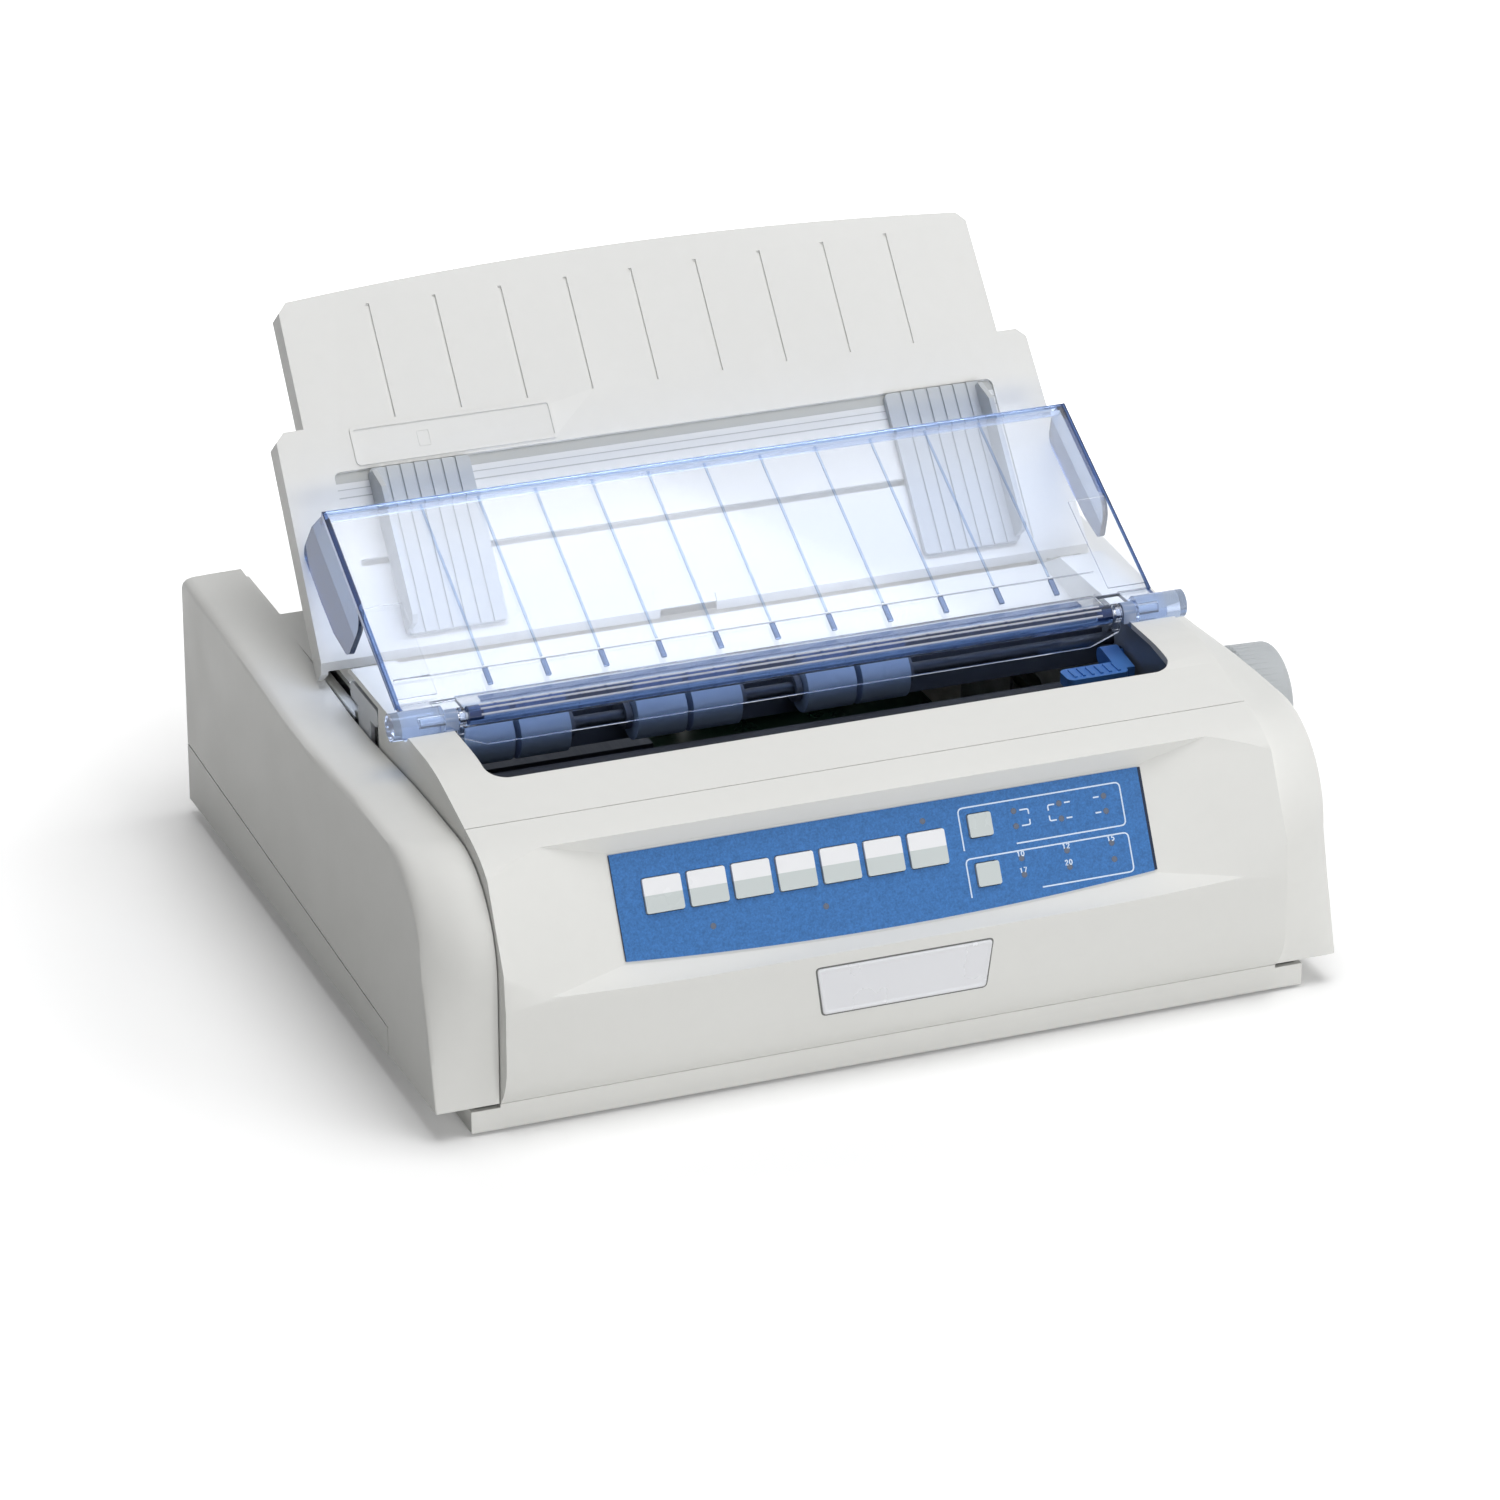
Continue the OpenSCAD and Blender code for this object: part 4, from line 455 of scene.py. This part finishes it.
mats["overlay"] = overlay_paint()
mats["key"] = plastic("key_two_tone", KEY_WHITE, rough=0.3, mottle=0.01, edge_highlight=0, zones=[(key_mask, KEY_GREY)])
mats["small_key"] = plastic("key_grey", KEY_GREY, rough=0.3, mottle=0.01, edge_highlight=0)
mats["ink"] = plastic("print_ink", srgb(214, 228, 246), rough=0.5, grain=0.002, edge_highlight=0)
# A dark navy for the painted shadow in the gap at the overlay's right end, and for the thin line along its
# left end.
mats["gap"] = plastic("gap_navy", srgb(22, 34, 56), rough=0.5, grain=0.002, edge_highlight=0)
BOARD_TOP = 13.7  # upper face of the main board, mm
PANEL_BOARD_N = 7.9  # depth behind the recess, 0.1 mm in front of the face of the panel's board, mm


def main_chips(p):
    """1 on what stands on the main board."""
    return p.math("GREATER_THAN", p.along((0, 0, 1), at(0, 0, BOARD_TOP)), 0.0)


def panel_parts(p):
    """1 on the switches and spacers that stand on the panel's board."""
    return p.math("GREATER_THAN", p.along(OUT_OF_PANEL, ON_PANEL @ Vector((0, 0, -PANEL_BOARD_N))), 0.0)


mats["board"] = plastic(
    "board_green", srgb(24, 56, 42), rough=0.3, mottle=0.08, zones=[(main_chips, srgb(34, 35, 37))])
mats["panel_board"] = plastic(
    "panel_board_green", srgb(30, 78, 52), rough=0.3, mottle=0.08, zones=[(panel_parts, srgb(44, 44, 46))])
WEAR["overlay"] = ["control_panel"]
WEAR["key"] = [f"key_{i}" for i in range(1, 8)]
WEAR["small_key"] = ["key_8", "key_9"]
WEAR["board"] = ["main_board"]
WEAR["panel_board"] = ["panel_board"]


# ---- Finish of the CAD nodes ----
def smooth_group():
    """Shades smooth every edge that bends by no more than the angle."""
    g = bpy.data.node_groups.new("smooth_by_angle", "GeometryNodeTree")
    g.interface.new_socket("Geometry", in_out="INPUT", socket_type="NodeSocketGeometry")
    angle = g.interface.new_socket("Angle", in_out="INPUT", socket_type="NodeSocketFloat")
    angle.default_value = math.radians(28)
    g.interface.new_socket("Geometry", in_out="OUTPUT", socket_type="NodeSocketGeometry")
    start = g.nodes.new("NodeGroupInput")
    end = g.nodes.new("NodeGroupOutput")
    bend = g.nodes.new("GeometryNodeInputMeshEdgeAngle")
    sharp = g.nodes.new("FunctionNodeCompare")
    sharp.data_type, sharp.operation = "FLOAT", "LESS_EQUAL"
    faces = g.nodes.new("GeometryNodeSetShadeSmooth")
    edges = g.nodes.new("GeometryNodeSetShadeSmooth")
    edges.domain = "EDGE"
    g.links.new(start.outputs[0], faces.inputs["Geometry"])
    g.links.new(faces.outputs[0], edges.inputs["Geometry"])
    g.links.new(bend.outputs["Unsigned Angle"], sharp.inputs[0])
    g.links.new(start.outputs[1], sharp.inputs[1])
    g.links.new(sharp.outputs[0], edges.inputs["Shade Smooth"])
    g.links.new(edges.outputs[0], end.inputs[0])
    return g


SMOOTH = smooth_group()
SOFT = {  # edge radius in mm; the others get EDGE
    "top_cover": 0.7, "front_cover": 1.4, "end_cover_left": 0.5, "end_cover_right": 0.5, "base_tray": 0.4,
    "sheet_guide": 0.5, "access_hood": 0.35, "front_visor": 0.35, "well_liner": 0.3,
    "control_panel": 0.0, "panel_lenses": 0.0, "main_board": 0.0, "panel_board": 0.0,
}
EDGE = 0.2


def finish(node, material, radius):
    """Gives a CAD node its material, joined corners, rounded edges and smooth normals."""
    o = NODES[node]
    o.data.materials.clear()
    o.data.materials.append(material)
    weld = o.modifiers.new("weld", "WELD")
    weld.merge_threshold = 2e-6
    if radius:
        flat = o.modifiers.new("flat_faces", "DECIMATE")
        flat.decimate_type = "DISSOLVE"
        flat.angle_limit = math.radians(0.4)
        bevel = o.modifiers.new("edges", "BEVEL")
        bevel.width = radius * MM
        bevel.segments = 2
        bevel.limit_method = "ANGLE"
        bevel.angle_limit = math.radians(35)
        bevel.use_clamp_overlap = True
        bevel.loop_slide = True
    smooth = o.modifiers.new("smooth", "NODES")
    smooth.node_group = SMOOTH
    normals = o.modifiers.new("flat_faces_first", "WEIGHTED_NORMAL")
    normals.mode = "FACE_AREA"
    normals.weight = 50 if node == "front_cover" else 80  # the front cover's creases are soft
    normals.keep_sharp = True


for key, names in WEAR.items():
    for name in names:
        finish(name, mats[key], SOFT.get(name, EDGE))


# ---- Own pieces ----
def piece(name, points, faces, material, body):
    """A mesh from points of the frame, which rides on that body."""
    mesh = bpy.data.meshes.new(name)
    mesh.from_pydata([tuple(v) for v in points], [], faces)
    mesh.materials.append(material)
    mesh.validate()
    o = bpy.data.objects.new(name, mesh)
    bpy.context.scene.collection.objects.link(o)
    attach(o, body)
    return o


def rounded(corners, radius, closed=False):
    """The corners of a path with each inner corner drawn as a short curve."""
    path = []
    n = len(corners)
    for i, c in enumerate(corners):
        c = Vector(c)
        if not closed and i in (0, n - 1):
            path.append(c)
            continue
        before, after = Vector(corners[i - 1]) - c, Vector(corners[(i + 1) % n]) - c
        a = c + before.normalized() * radius
        b = c + after.normalized() * radius
        for k in range(5):
            t = k / 4
            path.append((1 - t) ** 2 * a + 2 * t * (1 - t) * c + t**2 * b)
    return path


def band(path, width, place, low, high, closed=False):
    """Points and faces of a flat line along a path on a sloping face, between two heights over it."""
    n = len(path)
    points, faces = [], []
    for i, c in enumerate(path):
        a = path[i - 1] if i or closed else c
        b = path[(i + 1) % n] if i < n - 1 or closed else c
        d = (b - a).normalized()
        side = Vector((-d.y, d.x)) * width / 2
        for h in (low, high):
            for q in (c - side, c + side):
                points.append(place @ Vector((q.x, q.y, h)))
    for i in range(n if closed else n - 1):
        k, m = 4 * i, 4 * ((i + 1) % n)
        faces += [(k + 2, m + 2, m + 3, k + 3), (k + 1, k, m, m + 1)]
        faces += [(k, k + 2, m + 2, m), (k + 3, k + 1, m + 1, m + 3)]
    return points, faces


def stroke(name, path, width, place, low, high, material, body, closed=False):
    """A band as a piece of its own."""
    points, faces = band(path, width, place, low, high, closed)
    return piece(name, points, faces, material, body)


# ---- Print on the control panel ----
TURN = [k * math.tau / 16 for k in range(17)]
DIGITS = {  # centre lines of the printed digits, in a cell 0.6 wide and 1 high
    "0": [(0.3 + 0.28 * math.cos(a), 0.5 + 0.5 * math.sin(a)) for a in TURN],
    "1": [(0.1, 0.78), (0.36, 1.0), (0.36, 0.0)],
    "2": [(0.04, 0.74), (0.14, 0.94), (0.32, 1.0), (0.5, 0.93), (0.57, 0.74), (0.48, 0.52),
          (0.04, 0.0), (0.6, 0.0)],
    "5": [(0.54, 1.0), (0.14, 1.0), (0.1, 0.57), (0.3, 0.64), (0.52, 0.54), (0.59, 0.32),
          (0.49, 0.09), (0.27, 0.0), (0.04, 0.09)],
    "7": [(0.02, 1.0), (0.6, 1.0), (0.22, 0.0)],
}
DIGIT_W = 0.6  # width of a digit's cell, as a share of its height
DIGIT_H, DIGIT_STEP, DIGIT_LINE = 2.0, 1.9, 0.5  # height, pitch and line of the digits, mm
INK_LOW, INK_HIGH = OVERLAY_T - 0.02, OVERLAY_T + 0.03  # under and upper side of the print, mm
LINE_W = 0.6  # width of the printed lines, mm


def number(name, text, x, u):
    """A printed number whose middle lies at x, u on the control panel."""
    points, faces = [], []
    for i, digit in enumerate(text):
        left = x + (i - len(text) / 2) * DIGIT_STEP + (DIGIT_STEP - DIGIT_W * DIGIT_H) / 2
        path = [Vector((left + a * DIGIT_H, u + (b - 0.5) * DIGIT_H)) for a, b in DIGITS[digit]]
        more, quads = band(path, DIGIT_LINE, ON_PANEL, INK_LOW, INK_HIGH)
        faces += [tuple(k + len(points) for k in quad) for quad in quads]
        points += more
    return piece(name, points, faces, mats["ink"], "case")


def ink_line(name, corners, radius=0.8):
    """A printed line with rounded corners."""
    stroke(name, rounded(corners, radius), LINE_W, ON_PANEL, INK_LOW, INK_HIGH, mats["ink"], "case")


ink_line("upper_field_frame", [(58, 20.5), (107.1, 20.5), (107.1, 38.4), (34.8, 38.4), (34.8, 21)], 2.2)
ink_line("lower_field_frame", [(66, 1.1), (107.2, 1.1), (107.2, 17.4), (34.6, 17.4), (34.6, 1.6)], 2.2)
ink_line("bracket_a_upper", [(61.6, 33.8), (65.4, 33.8), (65.4, 31.6)])
ink_line("bracket_a_lower", [(61.6, 27.3), (65.4, 27.3), (65.4, 29.5)])
ink_line("bracket_b_upper", [(77.2, 33.8), (74.2, 33.8), (74.2, 31.6)])
ink_line("bracket_b_lower", [(77.2, 27.3), (74.2, 27.3), (74.2, 29.5)])
DASH = 2.6  # length of the short dashes, mm
for i, (x, u) in enumerate(((81.6, 33.8), (94.6, 33.8), (81.6, 27.4), (94.6, 27.4))):
    ink_line(f"dash_{i + 1}", [(x, u), (x + DASH, u)])
UPPER_ROW, LOWER_ROW = 16.1, 9.3  # where the two rows of numbers lie, mm up the panel
for text, x, u in (("10", 58.8, UPPER_ROW), ("12", 79.1, UPPER_ROW), ("15", 99.2, UPPER_ROW),
                   ("17", 58.8, LOWER_ROW), ("20", 79.1, LOWER_ROW)):
    number("number_" + text, text, x, u)
OVERLAY_END = 116.2  # half length of the overlay, mm
OVERLAY_LOW, OVERLAY_HIGH = 0.2, 43.2  # where the lines up its ends begin and end, mm


def end_line(name, x, width, high):
    """A dark line up one end of the overlay."""
    stroke(name, [Vector((x, OVERLAY_HIGH)), Vector((x, OVERLAY_LOW))], width,
           ON_PANEL, 0.02, high, mats["gap"], "case")


# Painted shadow: a dark strip in the gap beside the overlay's right end.
end_line("overlay_shadow_gap", OVERLAY_END + 0.7, 1.4, OVERLAY_T * 0.6)
end_line("overlay_left_edge", -OVERLAY_END - 0.1, 0.3, OVERLAY_T + 0.02)

# ---- Sheet guide: an embossed sheet, the finger recess, the track of the side stops, and the pocket with painted shade ----
def corners_of(x0, x1, y0, y1):
    """The corners of a rectangle, in turn."""
    return (x0, y0), (x1, y0), (x1, y1), (x0, y1)


SHEET_X, SHEET_V = -109.0, 96.0  # middle of the embossed sheet in the label field, mm
SHEET_HW, SHEET_HH = 2.6, 3.4  # its half width and half height, mm
sheet = corners_of(SHEET_X - SHEET_HW, SHEET_X + SHEET_HW, SHEET_V - SHEET_HH, SHEET_V + SHEET_HH)
stroke("sheet_outline", rounded(sheet, 0.5, True), 0.45, ON_GUIDE, -0.15, 0.2, mats["guide"], "guide", True)


def plate(name, x0, x1, v0, v1, n0, n1):
    """A thin plate on the guide, between two corners."""
    points = [ON_GUIDE @ Vector((x, v, n)) for n in (n0, n1) for x, v in corners_of(x0, x1, v0, v1)]
    faces = [(3, 2, 1, 0), (4, 5, 6, 7), (0, 1, 5, 4), (1, 2, 6, 5), (2, 3, 7, 6), (3, 0, 4, 7)]
    return piece(name, points, faces, mats["guide"], "guide")


plate("finger_recess_floor", -25, 3, 4.5, 14, -2.6, -1.0)
plate("slider_track", -150, 150, 39, 50, -6.2, -5.2)
POCKET_HW, POCKET_FLOOR = 156.5, -1.2  # half width and depth of the guide's pocket, mm
POCKET_END = POCKET_HW - 4  # where the bands on its floor end, mm
# Grey bands of painted shade on the pocket's floor: the shadow below its upper wall, and shade lines along
# its two rails.
POCKET_BANDS = (  # name, place up the guide and width, mm
    ("pocket_wall_shadow", 83.4, 4.6),
    ("pocket_rail_upper_shade", 78.2, 0.35),
    ("pocket_rail_lower_shade", 74.6, 0.5),
)
for name, v, width in POCKET_BANDS:
    stroke(name, [Vector((-POCKET_END, v)), Vector((POCKET_END, v))], width, ON_GUIDE,
           POCKET_FLOOR - 0.02, POCKET_FLOOR + 0.06, mats["pocket"], "guide")


# ---- Edges of the slot for the paper lever, between the rear deck and the left end cover ----
CHAMFER = 0.4  # on the upper edges of these slabs, mm


def slab(name, x0, x1, y0, y1, z0, z1):
    """A flat block between two corners of the layout, its upper edges broken by a small chamfer."""
    c = CHAMFER
    points = [at(x, y, z) for z in (z0, z1 - c) for x, y in corners_of(x0, x1, y0, y1)]
    points += [at(x, y, z1) for x, y in corners_of(x0 + c, x1 - c, y0 + c, y1 - c)]
    faces = [(3, 2, 1, 0), (8, 9, 10, 11)]
    for k in (0, 4):
        faces += [(k + i, k + (i + 1) % 4, k + 4 + (i + 1) % 4, k + 4 + i) for i in range(4)]
    return piece(name, points, faces, mats["ivory"], "case")


SLOT_INNER, SLOT_FRONT = -168.6, 147.2  # the slot's inner side and front end, mm
slab("lever_slot_outer_edge", -174.4, -172.2, SLOT_FRONT, 206, 104.5, 106.4)
slab("lever_slot_inner_edge", SLOT_INNER, -163.6, SLOT_FRONT, 187.6, 104.5, 107.2)
slab("lever_slot_floor", SLOT_INNER, -164.0, 188, 244, 102.4, 104)


# ---- Nameplate: a bare silver plate with rounded corners and a raised rim ----
PLATE_Z = 31.6  # lower edge of the plate, mm
ON_NOSE = slope(-NOSE, PLATE_Z, math.pi / 2)
PLATE_TOP, PLATE_BOTTOM, PLATE_H = 77.2, 71.6, 20.8  # widths and height, mm


def plate_outline(inset, radius):
    """The plate's outline, drawn in by inset."""
    top, bottom = PLATE_TOP / 2 - inset, PLATE_BOTTOM / 2 - inset
    corners = [(-bottom, inset), (bottom, inset), (top, PLATE_H - inset), (-top, PLATE_H - inset)]
    return rounded(corners, radius, True)


RIM = (  # inset, height and corner radius of each ring, from the foot over the rim to the flat face, mm
    (0.0, -0.5, 1.6),
    (0.0, 0.35, 1.6),
    (0.25, 0.7, 1.5),
    (0.7, 0.85, 1.3),
    (1.3, 0.75, 1.1),
    (1.9, 0.45, 0.9),
)


def nameplate_face():
    """The plate, as rings joined from its foot to its face."""
    points, faces = [], []
    for inset, height, radius in RIM:
        points += [ON_NOSE @ Vector((q.x, q.y, height)) for q in plate_outline(inset, radius)]
    n = len(points) // len(RIM)
    for k in range(len(RIM) - 1):
        for i in range(n):
            j = (i + 1) % n
            faces.append((k * n + i, k * n + j, (k + 1) * n + j, (k + 1) * n + i))
    faces.append(tuple(range((len(RIM) - 1) * n, len(RIM) * n)))
    faces.append(tuple(reversed(range(n))))
    return piece("nameplate_face", points, faces, mats["plate"], "case")


face = nameplate_face()
for polygon in face.data.polygons:
    polygon.use_smooth = len(polygon.vertices) == 4
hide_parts("nameplate")
# A dark grey ring round the plate: painted shadow of the recess that it sits in.
stroke("nameplate_seam_shadow", plate_outline(-0.35, 1.8), 0.7, ON_NOSE, -0.3, 0.03, mats["seam"], "case", True)


# ---- Fine ridges along the hinge rail of the hood ----
RAIL_R, RIDGE_R, RIDGE_SIDES = 4.1, 0.45, 10  # radii in mm, and the sides of a ridge
RIDGE_END = RAIL_HALF - 6  # where a ridge ends, mm


def ridge(name, angle):
    """A round ridge, half sunk in the rail, at an angle up from the rail's front."""
    y = HINGE_Y - math.cos(angle) * RAIL_R
    z = HINGE_Z + math.sin(angle) * RAIL_R
    n = RIDGE_SIDES
    points = [at(x, y + RIDGE_R * math.cos(k * math.tau / n), z + RIDGE_R * math.sin(k * math.tau / n))
              for x in (-RIDGE_END, RIDGE_END) for k in range(n)]
    faces = [(k, (k + 1) % n, n + (k + 1) % n, n + k) for k in range(n)]
    faces += [tuple(reversed(range(n))), tuple(range(n, 2 * n))]
    return piece(name, points, faces, mats["ridge"], "hood")


for i, angle in enumerate((20, 55, 90)):
    ridge(f"rail_ridge_{i + 1}", math.radians(angle))


# ---- Stage ----
FOCAL, SENSOR = 155.2, 36.0  # lens and sensor width of the camera, mm
AZIMUTH, ELEVATION = math.radians(-21.44), math.radians(24.55)
DISTANCE = 2.9303  # from the camera to where it aims, m
AIM = Vector((0.04575, 0.14327, 0.0))

camera = bpy.data.cameras.new("photo_camera")
camera.lens, camera.sensor_width = FOCAL, SENSOR
camera.clip_end = 100
view = bpy.data.objects.new("photo_camera", camera)
bpy.context.scene.collection.objects.link(view)
away = Vector((
    math.sin(AZIMUTH) * math.cos(ELEVATION), -math.cos(AZIMUTH) * math.cos(ELEVATION), math.sin(ELEVATION)))
view.location = AIM + away * DISTANCE
view.rotation_mode = "QUATERNION"
view.rotation_quaternion = (-away).to_track_quat("-Z", "Y")
bpy.context.scene.camera = view


def seen_directly(tree):
    """1 for a ray from the camera, or one that mirrors or passes clear pieces on its way."""
    path = tree.nodes.new("ShaderNodeLightPath")
    total = path.outputs["Is Camera Ray"]
    for name in ("Is Glossy Ray", "Is Transmission Ray"):
        m = tree.nodes.new("ShaderNodeMath")
        m.operation = "MAXIMUM"
        tree.links.new(total, m.inputs[0])
        tree.links.new(path.outputs[name], m.inputs[1])
        total = m.outputs[0]
    return total


AMBIENT = 0.06  # strength of the backdrop as a light
world = bpy.data.worlds.new("studio")
bpy.context.scene.world = world
world.use_nodes = True
wt = world.node_tree
backdrop = wt.nodes["Background"]
backdrop.inputs["Color"].default_value = (0.97, 0.985, 1.0, 1)
level = wt.nodes.new("ShaderNodeMapRange")
wt.links.new(seen_directly(wt), level.inputs[0])
level.inputs[3].default_value = AMBIENT
level.inputs[4].default_value = 1.0
wt.links.new(level.outputs[0], backdrop.inputs["Strength"])


def lamp(name, where, aim, size, level):
    """A soft box: level is what it adds, in the middle, to a white surface that faces it."""
    light = bpy.data.lights.new(name, "AREA")
    light.shape = "RECTANGLE"
    light.size, light.size_y = size
    where, aim = Vector(where), Vector(aim)
    d = (aim - where).length
    light.energy = level * math.pi**2 * d**2
    o = bpy.data.objects.new(name, light)
    bpy.context.scene.collection.objects.link(o)
    o.location = where
    o.rotation_mode = "QUATERNION"
    o.rotation_quaternion = (aim - where).to_track_quat("-Z", "Y")
    o.visible_glossy = False


MIDDLE = (0, 0, 0.1)
lamp("top_softbox", (0.3, -0.2, 2.8), MIDDLE, (1.8, 1.8), 0.7)
lamp("front_fill", (0.1, -2.8, 0.4), MIDDLE, (1.8, 0.5), 0.41)
lamp("right_softbox", (1.8, -1.6, 1.8), MIDDLE, (1.2, 1.2), 0.1)
lamp("right_edge", (2.8, 0.0, 1.2), MIDDLE, (1.2, 1.2), 0.09)
lamp("back_edge", (0.3, 2.0, 2.2), MIDDLE, (1.6, 1.2), 0.1)

FLOOR_HALF = 12.0  # half the floor's side, m
floor_corners = corners_of(-FLOOR_HALF, FLOOR_HALF, -FLOOR_HALF, FLOOR_HALF)
floor_mesh = bpy.data.meshes.new("floor")
floor_mesh.from_pydata([(x, y, 0) for x, y in floor_corners], [], [(0, 1, 2, 3)])
floor = bpy.data.objects.new("floor", floor_mesh)
bpy.context.scene.collection.objects.link(floor)
paper = bpy.data.materials.new("floor_white")
paper.use_nodes = True
ft = paper.node_tree
fb = ft.nodes["Principled BSDF"]
shown = ft.nodes.new("ShaderNodeMix")
shown.data_type = "RGBA"
ft.links.new(seen_directly(ft), shown.inputs[0])
shown.inputs[6].default_value = srgb(216, 216, 214)  # what it throws back on the printer
shown.inputs[7].default_value = srgb(250, 250, 250)  # what the camera sees
ft.links.new(shown.outputs[2], fb.inputs["Base Color"])
fb.inputs["Roughness"].default_value = 0.9
fb.inputs["Specular IOR Level"].default_value = 0.0
fb.inputs["Emission Color"].default_value = (1, 1, 1, 1)
# The floor stays white out to the edge of the picture, and keeps the shadow near the printer.
place = ft.nodes.new("ShaderNodeTexCoord")
far = ft.nodes.new("ShaderNodeVectorMath")
far.operation = "LENGTH"
ft.links.new(place.outputs["Object"], far.inputs[0])
rise = ft.nodes.new("ShaderNodeMapRange")
rise.interpolation_type = "SMOOTHSTEP"
ft.links.new(far.outputs["Value"], rise.inputs[0])
GLOW_FROM, GLOW_TO = 0.22, 0.6  # distances between which the floor's glow rises, m
GLOW_NEAR, GLOW_FAR = 0.14, 0.9  # its strength there
for socket, value in zip((1, 2, 3, 4), (GLOW_FROM, GLOW_TO, GLOW_NEAR, GLOW_FAR)):
    rise.inputs[socket].default_value = value
glow = ft.nodes.new("ShaderNodeMath")
glow.operation = "MULTIPLY"
ft.links.new(seen_directly(ft), glow.inputs[0])
ft.links.new(rise.outputs[0], glow.inputs[1])
ft.links.new(glow.outputs[0], fb.inputs["Emission Strength"])
floor_mesh.materials.append(paper)

bpy.context.scene.view_settings.view_transform = "Standard"
